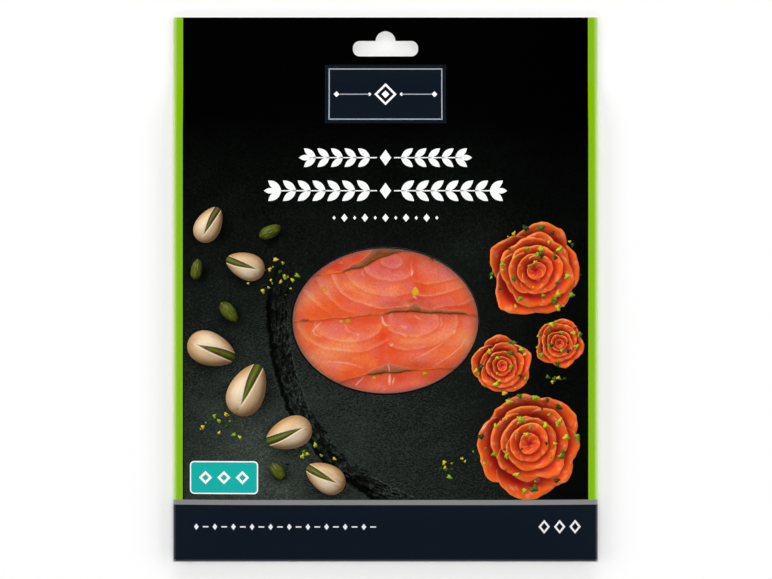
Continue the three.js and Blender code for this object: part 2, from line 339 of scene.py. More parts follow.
def laminated_print():
    """Offset print on carton board under a satin laminate: deep blacks, a soft sheen at the folds,
    green side stripes that a painted highlight turns pale at the folds, a grey rule over a navy foot,
    and the grain and veins of pictured slate."""
    material = new_material("laminated_print")
    tree = material.node_tree
    place = add(tree, "ShaderNodeTexCoord").outputs["Object"]
    tint = add(tree, "ShaderNodeAttribute", attribute_name="tint").outputs["Color"]
    # Slate grain, two specks to a millimetre and drawn out along the stone, and veins 25 mm apart.
    drawn_out = {"Vector": place, "Rotation": (0, 0, 0.25), "Scale": (0.62, 1, 1)}
    streaks = add(tree, "ShaderNodeMapping", drawn_out).outputs[0]
    specks = {"Vector": streaks, "Scale": 1.9 / MM, "Detail": 1}
    grain = add(tree, "ShaderNodeTexNoise", specks).outputs["Fac"]
    peaks = add(tree, "ShaderNodeMath", {0: grain, 1: 3.0}, operation="POWER").outputs[0]
    spread = {"Value": peaks, "From Max": 0.36, "To Min": 0.5, "To Max": 1.8}
    grained = add(tree, "ShaderNodeMapRange", spread).outputs[0]
    waves = {"Vector": place, "Scale": 0.04 / MM, "Detail": 6, "Distortion": 1.5}
    veins = add(tree, "ShaderNodeTexNoise", waves).outputs["Fac"]
    ridge = {"Value": veins, "From Min": 0.40, "From Max": 0.60, "To Min": 1.15, "To Max": 0.9}
    veined = add(tree, "ShaderNodeMapRange", ridge).outputs[0]
    both = {0: grained, 1: veined}
    strength = add(tree, "ShaderNodeMath", both, operation="MULTIPLY").outputs[0]
    slate = {0: tint, "Scale": strength}
    colour = add(tree, "ShaderNodeVectorMath", slate, operation="SCALE").outputs[0]

    axes = add(tree, "ShaderNodeSeparateXYZ", {0: place}).outputs
    aside = add(tree, "ShaderNodeMath", {0: axes["X"]}, operation="ABSOLUTE").outputs[0]
    down = add(tree, "ShaderNodeMath", {0: axes["Y"], 1: -1.0}, operation="MULTIPLY").outputs[0]

    def past(distance, line, blur):
        """0 before a line, 1 past it, and in between over the blur of a printed edge."""
        low, high = (line - blur / 2) * MM, (line + blur / 2) * MM
        limits = {"Value": distance, "From Min": low, "From Max": high}
        return add(tree, "ShaderNodeMapRange", limits).outputs[0]

    # A Mix node takes its share at input 0 and two colours at 6 and 7, and gives output 2.
    for distance, bands in ((aside, SIDE_STRIPES_AND_SHEEN), (down, FOOT_BANDS)):
        for start, end, band, blur in bands:
            share = past(distance, start, blur)
            if end:
                both = {0: share, 1: past(distance, end, blur)}
                share = add(tree, "ShaderNodeMath", both, operation="SUBTRACT").outputs[0]
            ends = {0: share, 6: colour, 7: rgba(band)}
            colour = add(tree, "ShaderNodeMix", ends, data_type="RGBA").outputs[2]
    finish_surface(tree, colour, Roughness=0.16, IOR=1.45)
    return material


def printing_ink():
    """Four-colour offset ink under the same satin laminate: the pictured colours, with the faint
    unevenness of the screen, drawn coarser than its real 0.15 mm so that it shows."""
    material = new_material("printing_ink")
    tree = material.node_tree
    place = add(tree, "ShaderNodeTexCoord").outputs["Object"]
    tint = add(tree, "ShaderNodeAttribute", attribute_name="tint").outputs["Color"]
    dots = {"Vector": place, "Scale": 2.2 / MM, "Detail": 1}
    screen = add(tree, "ShaderNodeTexNoise", dots).outputs["Fac"]
    spread = {"Value": screen, "From Min": 0.3, "From Max": 0.7, "To Min": 0.96, "To Max": 1.03}
    strength = add(tree, "ShaderNodeMapRange", spread).outputs[0]
    inked = {0: tint, "Scale": strength}
    colour = add(tree, "ShaderNodeVectorMath", inked, operation="SCALE").outputs[0]
    finish_surface(tree, colour, Roughness=0.16, IOR=1.45)
    return material


def raw_board():
    """Die-cut edge of bleached carton board: matt, off-white, with faint fibres 0.4 mm apart."""
    material = new_material("raw_board_edge")
    tree = material.node_tree
    place = add(tree, "ShaderNodeTexCoord").outputs["Object"]
    pulp = {"Vector": place, "Scale": 2.5 / MM, "Detail": 2}
    fibres = add(tree, "ShaderNodeTexNoise", pulp).outputs["Fac"]
    spread = {"Value": fibres, "From Min": 0.3, "From Max": 0.7}
    share = add(tree, "ShaderNodeMapRange", spread).outputs[0]
    ends = {0: share, 6: rgba("#B9B6AE"), 7: rgba("#D3D1CA")}
    colour = add(tree, "ShaderNodeMix", ends, data_type="RGBA").outputs[2]
    finish_surface(tree, colour, Roughness=0.85, IOR=1.45)
    return material


def uncoated_board():
    """Unprinted inside of the carton board: matt, light grey, seen only through slot and window."""
    material = raw_board()
    material.name = "uncoated_board"
    return material


def cured_salmon():
    """Cold-smoked salmon under film: moist and slightly translucent, coral flesh with pale fat lines.

    The colours are drawn on the surface, and fibres 0.8 mm apart make them leaner, which is redder,
    or fatter, which is paler."""
    material = new_material("cured_salmon")
    tree = material.node_tree
    place = add(tree, "ShaderNodeTexCoord").outputs["Object"]
    tint = add(tree, "ShaderNodeAttribute", attribute_name="tint").outputs["Color"]
    threads = {"Vector": place, "Scale": 1.3 / MM, "Detail": 4}
    fibre = add(tree, "ShaderNodeTexNoise", threads).outputs["Fac"]
    spread = {"Value": fibre, "From Min": 0.36, "From Max": 0.64}
    share = add(tree, "ShaderNodeMapRange", spread).outputs[0]
    lean_and_fat = {0: share, 6: (0.99, 0.87, 0.81, 1), 7: (1.01, 1.14, 1.21, 1)}
    fatness = add(tree, "ShaderNodeMix", lean_and_fat, data_type="RGBA").outputs[2]
    both = {0: tint, 1: fatness}
    colour = add(tree, "ShaderNodeVectorMath", both, operation="MULTIPLY").outputs[0]
    ripple = {"Height": fibre, "Strength": 0.15, "Distance": 0.2 * MM}
    bump = add(tree, "ShaderNodeBump", ripple).outputs["Normal"]
    moist = dict(Roughness=0.26, IOR=1.38, Coat_Weight=0.3, Coat_Roughness=0.12)
    glow = dict(Subsurface_Weight=0.12, Subsurface_Radius=(1.0, 0.35, 0.2), Subsurface_Scale=0.8 * MM)
    finish_surface(tree, colour, Normal=bump, **moist, **glow)
    return material


def vacuum_film():
    """Clear polyamide and polyethylene vacuum film: glossy, with no more than a trace of haze, whose
    tone is dark so that it doesn't turn the flesh milky."""
    material = new_material("clear_vacuum_film")
    finish_surface(material.node_tree, "#24282A", Roughness=0.1, IOR=1.5, Alpha=0.04)
    return material


# ---- The sleeve ----


def edge_thickness(y):
    """Thickness of the sleeve at its side folds: full below, pinched flat at the header."""
    return mix(EDGE, HEADER, ramp(y, *SIDE_PINCH))


def front_height(x, y):
    """Height of the front panel: level over the fish, bowed down to its folds, foot and header."""
    sideways = bow((HALF_WIDTH - FOLD - np.abs(x)) / (HALF_WIDTH - FOLD - LEVEL_HALF_WIDTH))
    foot = bow((y + HALF_HEIGHT - FOLD) / FOOT_SLOPE)
    return edge_thickness(y) + (CROWN - EDGE) * sideways * foot * (1 - ramp(y, *HEAD_SLOPE))


def sleeve_faces(x, y, inset):
    """Front and back faces drawn in by inset, rounded to meet at half the thickness on the folds."""
    fill = rim_fill(np.minimum(HALF_WIDTH - np.abs(x), y + HALF_HEIGHT) - inset, FOLD - inset)
    middle = edge_thickness(y) / 2
    return mix(middle, front_height(x, y) - inset, fill), mix(middle, inset, fill)


def sleeve_block(inset, end, fold_count, spacing):
    """The sleeve's outside, or its cavity, as a closed block on a grid that is fine at the folds."""
    fold = inset + rim_steps(FOLD - inset, fold_count)
    side = -HALF_WIDTH + fold
    xs = mirrored(side, np.linspace(side[-1], -side[-1], round(-2 * side[-1] / spacing))[1:-1])
    foot = -HALF_HEIGHT + fold
    ys = np.concatenate([foot[:-1], np.linspace(foot[-1], end, round((end - foot[-1]) / spacing))])
    x, y = np.meshgrid(xs, ys)
    return body_between(x, y, *sleeve_faces(x, y, inset))


def prism(outline, low, high):
    """A closed prism over an outline that runs counterclockwise."""
    count = len(outline)
    ring = np.arange(count)
    points = np.concatenate([np.column_stack([outline, np.full(count, z)]) for z in (low, high)])
    sides = np.column_stack([ring, np.roll(ring, -1), np.roll(ring, -1) + count, ring + count])
    return points, [list(ring[::-1]), list(ring + count), *sides.tolist()]


def arc(centre, radius, start, end, count=12):
    """Points along a circle, from one angle to another."""
    angle = np.linspace(start, end, count + 1)
    return np.column_stack([centre[0] + radius * np.cos(angle), centre[1] + radius * np.sin(angle)])


def slot_outline():
    """The hanging slot: a bar with round corners and a round hump over its middle."""
    right, height = SLOT_BAR[0] / 2 - SLOT_CORNER, SLOT_BAR[1]
    low, high = SLOT_BOTTOM + SLOT_CORNER, SLOT_BOTTOM + height - SLOT_CORNER
    hump = (0, SLOT_HUMP_TOP - SLOT_HUMP_RADIUS)
    start = math.asin((SLOT_BOTTOM + height - hump[1]) / SLOT_HUMP_RADIUS)
    quarter = math.pi / 2
    return np.concatenate([
        arc((right, low), SLOT_CORNER, -quarter, 0),
        arc((right, high), SLOT_CORNER, 0, quarter),
        arc(hump, SLOT_HUMP_RADIUS, start, math.pi - start, 24),
        arc((-right, high), SLOT_CORNER, quarter, 2 * quarter),
        arc((-right, low), SLOT_CORNER, 2 * quarter, 3 * quarter),
    ])


def subtract(piece, cutters):
    """Cuts closed meshes out of a piece and applies the cuts."""
    for points, faces in cutters:
        cutter = into_scene("cutter", new_mesh("cutter", points, faces))
        cut = piece.modifiers.new("cut", "BOOLEAN")
        cut.operation = "DIFFERENCE"
        cut.solver = "MANIFOLD"
        cut.object = cutter
        with bpy.context.temp_override(object=piece):
            bpy.ops.object.modifier_apply(modifier=cut.name)
        bpy.data.objects.remove(cutter)


def places_of(elements, name):
    """Places of a mesh's vertices or faces, as x, y and z in millimetres."""
    places = np.empty(3 * len(elements))
    elements.foreach_get(name, places)
    return places.reshape(-1, 3).T / MM


SLATE_HUE = np.array([0.84, 1.10, 0.88])  # a greenish grey of strength 1
BACK_SHADE = 0.6  # brightness of the back's slate against the front's
ON_SURFACE = 0.06  # a mesh face nearer than this to a surface lies on it


def slate_shade(x, y):
    """Linear colour of the pictured slate: near black at the header, grey-green towards the foot.

    A pool of light lies on the lower left and a faint one right of the window's head; the right is
    in shadow, and two sizes of noise cloud it all."""
    depth = np.clip((70 - y) / 154, 0, 1)
    pool = bell(np.hypot((x + 50) / 34, (y + 66) / 36), 1)
    glow = bell(np.hypot((x - 36) / 14, (y - 15) / 9), 1)
    shade = 0.0004 + 0.014 * depth + 0.0045 * depth**3 + 0.023 * pool + 0.004 * glow
    shade *= 1 - (0.5 + 0.4 * depth) * ramp(x, 30 - 25 * depth, 72)
    shade *= 1 + 0.22 * cloud(x, y, 26, seed=3) + 0.14 * cloud(0.6 * x - 0.3 * y, 1.8 * y, 9, seed=8)
    return shade[..., None] * SLATE_HUE


def make_sleeve(board):
    """The folded board: outside, less the cavity, the window, the slot and all above the header."""
    excess, far = 3, 2 * HALF_WIDTH
    outside = sleeve_block(0, HALF_HEIGHT + excess, fold_count=8, spacing=1.35)
    block = new_mesh("sleeve_board", *outside)
    sleeve = add_piece("sleeve_board", block, board, "sleeve")
    low, high = HALF_HEIGHT, HALF_HEIGHT + far
    beyond = [(-far, low), (far, low), (far, high), (-far, high)]
    circle = arc((0, 0), 1, 0, 2 * math.pi, 180)[:-1]
    window = circle * (WINDOW_HALF_WIDTH, WINDOW_HALF_HEIGHT) + (0, WINDOW_Y)
    subtract(sleeve, [
        sleeve_block(BOARD, CAVITY_TOP, fold_count=4, spacing=3.0),
        prism(beyond, -CROWN, 2 * CROWN),
        prism(window, CROWN / 2, 2 * CROWN),
        prism(slot_outline(), -CROWN, 2 * CROWN),
    ])
    mesh = sleeve.data
    mesh.materials.clear()
    for material in (board, raw_board(), uncoated_board()):
        mesh.materials.append(material)
    printed, cut_edge, unprinted = range(3)
    x, y, z = places_of(mesh.polygons, "center")

    def lies_on(inset):
        """Whether each of the mesh's faces lies on the front or back face drawn in by inset."""
        top, bottom = sleeve_faces(x, y, inset)
        return np.minimum(np.abs(z - top), np.abs(z - bottom)) < ON_SURFACE

    bare = np.where(lies_on(BOARD) & (y < CAVITY_TOP), unprinted, cut_edge)
    mesh.polygons.foreach_set("material_index", np.where(lies_on(0), printed, bare))
    x, y, z = places_of(mesh.vertices, "co")
    facing = np.where(z > edge_thickness(y) / 2, 1, BACK_SHADE)
    paint(mesh, slate_shade(x, y) * facing[:, None])
    mesh.shade_smooth()
    mesh.set_sharp_from_angle(angle=math.radians(40))


# ---- The print ----

INK = 0.03  # how far each layer of ink stands off the board, so that layers can't flicker
PRINT_HALF_WIDTH = 80.4  # the pictures end at the dark line beside the stripes
HAIR = 0.03  # width of the cell along a patch's border, over which ink ends


def unit_grid(columns, rows, half_width, half_height):
    """Parameters from -1 to 1 both ways, with a hair-thin cell along the border, where ink ends."""
    sides = []
    for count, half in ((columns, half_width), (rows, half_height)):
        end = 1 - min(HAIR / half, 0.1)
        sides.append(np.concatenate([[-1], np.linspace(-end, end, count), [1]]))
    return np.meshgrid(*sides)


def round_grid(count, radius):
    """A grid bent into a disc of radius 1: each parameter times root (1 - half the other squared)."""
    a, b = unit_grid(count, count, radius, radius)
    return a * np.sqrt(1 - b * b / 2), b * np.sqrt(1 - a * a / 2)


def dome(u, v, top):
    """Height of a dome over a disc: the root of what is left of top beyond the squared radius."""
    return np.sqrt(np.clip(top - u * u - v * v, 0, 1))


def placed(u, v, centre, turn=0.0):
    """Local coordinates turned by an angle in degrees and moved to a centre."""
    angle = math.radians(turn)
    x = centre[0] + u * math.cos(angle) - v * math.sin(angle)
    return x, centre[1] + u * math.sin(angle) + v * math.cos(angle)


def slopes(height, x, y):
    """Slopes of a height field along x and y, from differences along a grid's rows and columns."""
    (hv, hu), (xv, xu), (yv, yu) = (np.gradient(field) for field in (height, x, y))
    area = np.where(np.abs(xu * yv - xv * yu) < 1e-9, 1e-9, xu * yv - xv * yu)
    return (hu * yv - hv * yu) / area, (hv * xu - hu * xv) / area


LIGHT_WAY = np.array([-0.42, 0.52, 0.74])  # towards the light of the pictured things
MIRROR_WAY = (LIGHT_WAY + (0, 0, 1)) / np.linalg.norm(LIGHT_WAY + (0, 0, 1))
FULL_LIGHT = 1.25


def pictured(colours, height, x, y, gloss, ambient):
    """Shades a relief as light from the upper left would: ambient, slope towards it, and gloss."""
    slope_x, slope_y = slopes(height, x, y)
    length = np.sqrt(1 + slope_x**2 + slope_y**2)
    facing, mirrored_light = (
        np.clip((way[2] - slope_x * way[0] - slope_y * way[1]) / length, 0, 1)
        for way in (LIGHT_WAY, MIRROR_WAY)
    )
    shine = gloss * mirrored_light**60
    return colours * mix(ambient, FULL_LIGHT, facing)[..., None] + shine[..., None]


class Ink:
    """Patches of print that lie on the sleeve's front, gathered into one piece."""

    def __init__(self, name, material):
        self.name, self.material = name, material
        self.points, self.faces, self.colours = [], [], []
        self.count = 0

    def lay(self, x, y, colours, layer=1):
        """Adds a closed patch over a grid of places; its underside is sunk in the board."""
        if isinstance(colours, str):
            colours = all_over(colours, x)
        height = front_height(x, y)
        points, faces = body_between(x, y, height + INK * layer, height - INK * layer)
        self.points.append(points)
        self.faces += (faces + self.count).tolist()
        self.colours += [colours.reshape(-1, 3), colours[1:-1, 1:-1].reshape(-1, 3)]
        self.count += len(points)

    def rectangle(self, centre, width, height, colour, layer=1):
        """A rectangle on cells of about 2.5 by 1.5 mm, so that it follows the front's bow."""
        a, b = unit_grid(2 + round(width / 2.5), 2 + round(height / 1.5), width / 2, height / 2)
        self.lay(*placed(a * width / 2, b * height / 2, centre), colour, layer)

    def plate(self, centre, width, height, corner, colour, layer):
        """A rectangle with round corners: near both ends its rows draw in by a quarter circle."""
        rise = corner * (1 - np.cos(np.linspace(0, math.pi / 2, 9)))
        rise = mirrored(rise - height / 2, [0.0])
        past = np.clip((np.abs(rise) - height / 2 + corner) / corner, 0, 1)
        half = width / 2 - corner * (1 - np.sqrt(1 - past**2))
        side = unit_grid(6, 2, width / 2, height / 2)[0][0]
        x = centre[0] + side[None, :] * half[:, None]
        self.lay(x, centre[1] + np.broadcast_to(rise[:, None], x.shape), colour, layer)

    def lozenge(self, centre, width, height, colour, layer=1):
        """A square grid turned by an eighth: sum and difference of its parameters."""
        a, b = unit_grid(4, 4, width / 2, height / 2)
        self.lay(*placed((a + b) * width / 4, (b - a) * height / 4, centre), colour, layer)

    def leaf(self, centre, length, width, turn, colour):
        """A leaf pointed at both ends: its half width is width / 2 times (1 - a squared)."""
        a, b = unit_grid(11, 3, length / 2, width / 2)
        half = width / 2 * (1.02 - a * a)
        self.lay(*placed(a * length / 2, b * half, centre, turn), colour)

    def stroke(self, path, width, colour):
        """A line of even width along a path, which is an array of points."""
        along = np.gradient(path, axis=0)
        along /= np.linalg.norm(along, axis=1)[:, None]
        side = np.array([-width / 2, HAIR - width / 2, 0, width / 2 - HAIR, width / 2])[:, None]
        self.lay(path[:, 0] - side * along[:, 1], path[:, 1] + side * along[:, 0], colour)

    def finish(self):
        """Makes the gathered patches one piece."""
        points, colours = np.concatenate(self.points), np.concatenate(self.colours)
        mesh = new_mesh(self.name, points, self.faces, colours)
        mesh.set_sharp_from_angle(angle=math.radians(30))
        add_piece(self.name, mesh, self.material)


WHITE, SILVER, TEAL = "#FDFDFD", "#A9AEB4", "#00ADA4"
FOOT_WHITE = "#E9EBED"
PLAQUE = (0, 78.2)
# Bands of leaves: height on the front, half length, leaf spacing, leaf length and leaf width.
LEAF_BANDS = ((52.6, 33, 5.4, 6.0, 2.5), (39.4, 47, 5.9, 6.6, 2.8))
LEAF_TURN = 38  # degrees between a leaf and its stem
LOZENGE_ROW_Y = 28.6
LABEL = (-64.5, -75.1)
FOOT_LINE_Y = -94.8


def frame_line(ink, centre, width, height, stroke, colour, layer):
    """Four thin bars round a rectangle."""
    x, y = centre
    for side in (-1, 1):
        level, upright = side * (height - stroke) / 2, side * (width - stroke) / 2
        ink.rectangle((x, y + level), width, stroke, colour, layer)
        ink.rectangle((x + upright, y), stroke, height - 2 * stroke, colour, layer)


def print_leaf_band(ink, y, half_length, spacing, length, width):
    """A lozenge between two stems, each with pairs of slanting leaves and a leaf at its end."""
    ink.lozenge((0, y), 4.6, 6.4, WHITE)
    angle = math.radians(LEAF_TURN)
    across, up = math.cos(angle) * length / 2, math.sin(angle) * length / 2
    for side in (-1, 1):
        stem = np.linspace(3.4, half_length - 2, 30)
        ink.stroke(np.column_stack([side * stem, np.full(len(stem), y)]), 0.45, WHITE)
        for x in np.arange(6.2, half_length - 3, spacing):
            for tilt in (-1, 1):
                middle = (side * (x + across), y + tilt * up)
                ink.leaf(middle, length, width, side * tilt * LEAF_TURN, WHITE)
        ink.leaf((side * (half_length - 1), y), 5.0, 2.2, 0, WHITE)


def print_ornaments(material):
    """Plain plaque, leaf bands, label and foot line: common ornament in white, silver, navy, teal."""
    ink = Ink("print_ornament", material)
    ink.rectangle(PLAQUE, 48.4, 23.6, NAVY)
    frame_line(ink, PLAQUE, 45.6, 20.8, 0.5, SILVER, 2)
    for layer, size, colour in ((2, 9.0, WHITE), (3, 6.6, NAVY), (4, 3.2, WHITE)):
        ink.lozenge(PLAQUE, size, size, colour, layer)
    for side in (-1, 1):
        ink.rectangle((side * 12.4, PLAQUE[1]), 12.0, 0.45, SILVER, 2)
        for step, size in ((6.4, 1.6), (19.6, 2.4)):
            ink.lozenge((side * step, PLAQUE[1]), size, size, WHITE, 2)

    for band in LEAF_BANDS:
        print_leaf_band(ink, *band)
    for n in range(-5, 6):
        size = 2.6 if n % 2 == 0 else 1.3
        ink.lozenge((4.1 * n, LOZENGE_ROW_Y), size, size * 1.25, WHITE)

    ink.plate(LABEL, 27.4, 13.2, 1.8, WHITE, 2)
    ink.plate(LABEL, 26.4, 12.2, 1.3, TEAL, 3)
    for n in range(-1, 2):
        middle = (LABEL[0] + 7.4 * n, LABEL[1])
        ink.lozenge(middle, 5.4, 5.4, WHITE, 4)
        ink.lozenge(middle, 2.8, 2.8, TEAL, 5)

    for n in range(20):
        middle = (-75.6 + 3.72 * n, FOOT_LINE_Y)
        if n % 2:
            ink.rectangle(middle, 2.3, 0.5, FOOT_WHITE)
        else:
            ink.lozenge(middle, 1.9, 2.6, FOOT_WHITE)
    for n in range(3):
        middle = (63.4 + 6.2 * n, FOOT_LINE_Y)
        ink.lozenge(middle, 4.6, 5.6, FOOT_WHITE)
        ink.lozenge(middle, 2.6, 3.2, NAVY, 2)
    ink.finish()


CRUMB_COLOURS = ("#C9CC26", "#86A81A", "#DDBE2A", "#4E7614", "#A9BE22", "#2F4A10")


def print_crumbs(ink, places, seed, layer):
    """Crumbs of pistachio: angular grains, yellow to dark green, lit from the upper left.

    Each outline is a circle with waves of three and five, and each grain a dome over it."""
    for n, (cx, cy, size) in enumerate(places):
        u, v = round_grid(7, size)
        angle = np.arctan2(v, u)
        threes = 0.20 * np.cos(3 * angle + 6 * hashed(n, 2, seed))
        corners = 1 + threes + 0.12 * np.cos(5 * angle + n)
        x, y = placed(size * u * corners, 0.72 * size * v * corners, (cx, cy), 137 * n)
        colours = 0.9 * all_over(CRUMB_COLOURS[int(6 * hashed(n, 1, seed))], x)
        facets = 0.35 * size * value_noise(x + n, y, 0.7 * size, seed)
        height = 0.9 * size * dome(u, v, 1.05) + facets
        ink.lay(x, y, pictured(colours, height, x, y, gloss=0.1, ambient=0.3), layer)


# Salmon roses: centre, radius and turn in degrees.
ROSES = (
    ((60.0, 7.5), 19.0, 10.0),
    ((57.5, -61.5), 20.5, 50.0),
    ((46.5, -30.5), 11.5, 95.0),
    ((69.5, -21.5), 9.5, 140.0),
)
# Rings of petals from the outside in: count, inner and outer radius, and the share of the ring that
# one petal spans.
PETAL_RINGS = (
    (5, 0.42, 1.0, 0.30),
    (5, 0.25, 0.78, 0.34),
    (4, 0.12, 0.56, 0.42),
    (3, 0.04, 0.37, 0.52),
    (2, 0.0, 0.20, 0.7),
)
PETAL_SHADOW = np.array([1.0, 1.5, 1.7])  # powers of the shadow that red, green and blue take


def print_petal(ink, centre, radius, ring, way, half_span, seed, layer):
    """One petal of a rose, a slice of salmon on edge: a fan from its hidden foot to a thin, wavy lip.

    Its relief is a cup that rises outwards and turns over in its last twentieth. It darkens towards
    the lips of the ring inside it, over a sixth of the rose's radius."""
    inner, outer = PETAL_RINGS[ring][1:3]
    cover = PETAL_RINGS[ring + 1][2] if ring + 1 < len(PETAL_RINGS) else 0.0
    a, b = unit_grid(28, 16, radius * outer * half_span, radius * (outer - inner) / 2)
    t = (b + 1) / 2
    wave = 0.09 * value_noise(1.8 * a + seed, 0 * a, 1.0, seed)
    wave = wave + 0.02 * value_noise(8 * a + seed, 0 * a, 1.0, seed)
    size = 0.93 + 0.12 * hashed(seed, 1, 2) if ring > 0 else 1.0
    reach = outer * size * (1 + wave) * (1 - 0.20 * np.abs(a) ** 2.6)
    distance = radius * mix(inner, reach, t)
    fan = 0.72 + 0.28 * np.sqrt(np.clip(1 - (2 * t - 1.1) ** 2 * 0.6, 0, 1))
    angle = way + a * half_span * fan
    u, v = distance * np.cos(angle), distance * np.sin(angle)
    x, y = centre[0] + u, centre[1] + v
    cup = 0.7 * t**1.6 - 0.22 * ramp(t, 0.92, 1.04) - 0.10 * a * a
    dents = 0.5 * cloud(u, v, 3.6, seed) + 0.12 * cloud(u, v, 1.1, seed + 1)
    height = radius * (outer - inner) * cup + dents
    clear = distance / radius - cover * (1 + 0.4 * wave)
    warm = ramp(t, 0.55, 0.95) * (0.65 + 0.35 * cloud(u, v, 5, seed + 2))
    stripe = np.sin(2 * math.pi * (1.7 * a + 1.2 * t + 0.5 * cloud(u, v, 6, seed)))
    colours = tinted(
        all_over("#CC1C02", x),
        ("#E63E04", ramp(clear, 0.0, 0.14)),
        ("#EE7218", 0.7 * warm),
        ("#F6AC78", 0.50 * np.clip(stripe, 0, 1) ** 12 * ramp(clear, 0.02, 0.1)),
        ("#F4A848", 0.5 * ramp(t, 0.95, 0.985) * (1 + cloud(u, v, 3, seed + 3))),
    )
    lightness = 0.85 + 0.3 * hashed(seed, 0, 1)
    depth = 0.40 + 0.60 * ramp(clear, -0.05, 0.16) + 0.08 * cloud(u, v, 1.2, seed)
    colours = lightness * colours * depth[..., None] ** PETAL_SHADOW
    moist = 0.16 + 0.16 * ramp(cloud(u, v, 1.3, seed + 4), -0.1, 0.5)
    ink.lay(x, y, pictured(colours, height, x, y, moist, ambient=0.50), layer)


def print_roses(material):
    """Roses of salmon slices, ring on ring of petals, with pistachio on their lips."""
    ink = Ink("print_salmon", material)
    generator = np.random.default_rng(7)
    for rose, (centre, radius, turn) in enumerate(ROSES):
        layer = 2
        spots = []
        for ring, (count, _, outer, span) in enumerate(PETAL_RINGS):
            for n in range(count):
                way = math.radians(turn + 47 * ring) + 2 * math.pi * n / count
                half_span = math.pi * span * generator.uniform(0.92, 1.08)
                seed = 500 + 40 * rose + 7 * ring + n
                print_petal(ink, centre, radius, ring, way, half_span, seed, layer)
                layer += 1
                for _ in range(round(radius * outer / 6)):
                    along = way + generator.uniform(-0.7, 0.7) * half_span
                    out = radius * outer * generator.uniform(0.84, 0.97)
                    size = generator.uniform(0.5, 1.5) * (0.7 + radius / 70)
                    x, y = centre[0] + out * math.cos(along), centre[1] + out * math.sin(along)
                    spots.append((x, y, size))
        print_crumbs(ink, spots, 240 + rose, layer + 1)
    ink.finish()


# Pistachio nuts in their shells: centre, length and turn of the open end in degrees.
NUTS = (
    ((-70.5, 26.0), 15.5, 60),
    ((-56.0, 9.5), 16.0, 160),
    ((-69.5, -24.0), 20.0, -20),
    ((-55.0, -40.0), 22.0, 65),
    ((-38.5, -57.5), 19.0, 200),
    ((-24.0, -75.0), 17.0, 150),
)
# Shelled kernels: centre, length and turn in degrees.
KERNELS = (
    ((-46.0, 23.0), 9.5, 25),
    ((-75.5, 8.0), 8.5, 80),
    ((-62.5, -9.0), 10.0, -50),
    ((-43.0, -72.5), 8.5, 130),
)
# Heaps of crumbs: centre, width, height and count.
HEAPS = (
    ((-44, 6), 9, 7, 22),
    ((-66, -54), 7, 5, 14),
    ((-30, -66), 6, 3, 10),
    ((27, -70), 7, 4, 12),
    ((69, -36), 5, 2, 7),
)


def print_nut(ink, centre, length, turn, seed):
    """A nut seen from above: a shell that is round behind and gapes in front round its kernel.

    The relief is a dome, sunk in the gape, with a ridge along the kernel."""
    u, v = round_grid(52, length / 2)
    bulge = 1 - 0.22 * u
    gape = 0.34 * ramp(u, -0.80, 1.0) ** 0.75
    off = np.abs(v - 0.03 * np.sin(3 * u))
    inside = 1 - ramp(off, gape - 0.05, gape + 0.01)
    shell = tinted(
        all_over("#D6B489", u),
        ("#A97C48", 0.85 * ramp(np.hypot(u, v), 0.5, 1)),
        ("#EBDABD", 0.7 * bell(np.hypot(u + 0.2, v - 0.35), 0.5)),
    )
    ribs = 0.10 * cloud(1.5 * u, 9 * v, 0.8, seed) + 0.07 * cloud(u * 6, v * 6, 0.7, seed + 1)
    specks = ramp(value_noise(u * 9, v * 9, 0.9, seed + 3), 0.62, 0.9) * ramp(np.abs(u), 0.3, 0.9)
    lip = bell(off - gape - 0.025, 0.03) * ramp(u, -0.85, -0.5)
    shell = tinted(shell * (1 + ribs)[..., None], ("#8A5E34", 0.5 * specks), ("#F3E7CF", 0.8 * lip))
    skin = 0.75 * ramp(cloud(u * 2, v * 5, 0.6, seed + 2), 0, 0.4)
    kernel = tinted(all_over("#5F6A1C", u), ("#6E3A30", skin))
    kernel = kernel * (0.25 + 0.75 * bell(off, 0.6 * gape + 0.02))[..., None]
    x, y = placed(u * length / 2, v * bulge * length * 0.33, centre, turn)
    ridge = inside * bell(off, 0.7 * gape + 0.02)
    relief = length * (0.30 * dome(u, v, 1.02) - 0.07 * inside + 0.05 * ridge)
    colours = mix(shell, kernel, inside[..., None])
    ink.lay(x, y, pictured(colours, relief, x, y, gloss=0.05, ambient=0.26), 3)


def print_kernel(ink, centre, length, turn, seed):
    """A shelled kernel: a long olive bean, a wrinkled dome, with brown skin left at its ends."""
    u, v = round_grid(26, length / 2)
    green = tinted(
        all_over("#4C5510", u),
        ("#33240F", 0.8 * ramp(np.abs(u), 0.45, 1)),
        ("#7F8A20", 0.5 * ramp(cloud(2 * u, 4 * v, 0.9, seed), 0, 0.7)),
    )
    x, y = placed(u * length / 2, v * (1 - 0.1 * u) * length * 0.27, centre, turn)
    wrinkles = 0.03 * cloud(1.5 * u, 7 * v, 0.9, seed + 1)
    relief = length * (0.28 * dome(u, v, 1.02) + wrinkles)
    ink.lay(x, y, pictured(green, relief, x, y, gloss=0.12, ambient=0.18), 3)


def print_pistachios(material):
    """Nuts, kernels and strewn crumbs left of the window, and a few crumbs between the roses."""
    ink = Ink("print_pistachio", material)
    generator = np.random.default_rng(11)
    for n, nut in enumerate(NUTS):
        print_nut(ink, *nut, 300 + 5 * n)
    for n, kernel in enumerate(KERNELS):
        print_kernel(ink, *kernel, 340 + n)
    for n, (centre, wide, high, count) in enumerate(HEAPS):
        places = generator.normal(centre, (wide / 1.6, high / 1.6), (count, 2))
        sizes = generator.uniform(0.35, 1.1, count)
        spots = [(x, y, size) for (x, y), size in zip(places, sizes) if clear_of_window(x, y, 2)]
        print_crumbs(ink, spots, 360 + 20 * n, 3)
    ink.finish()


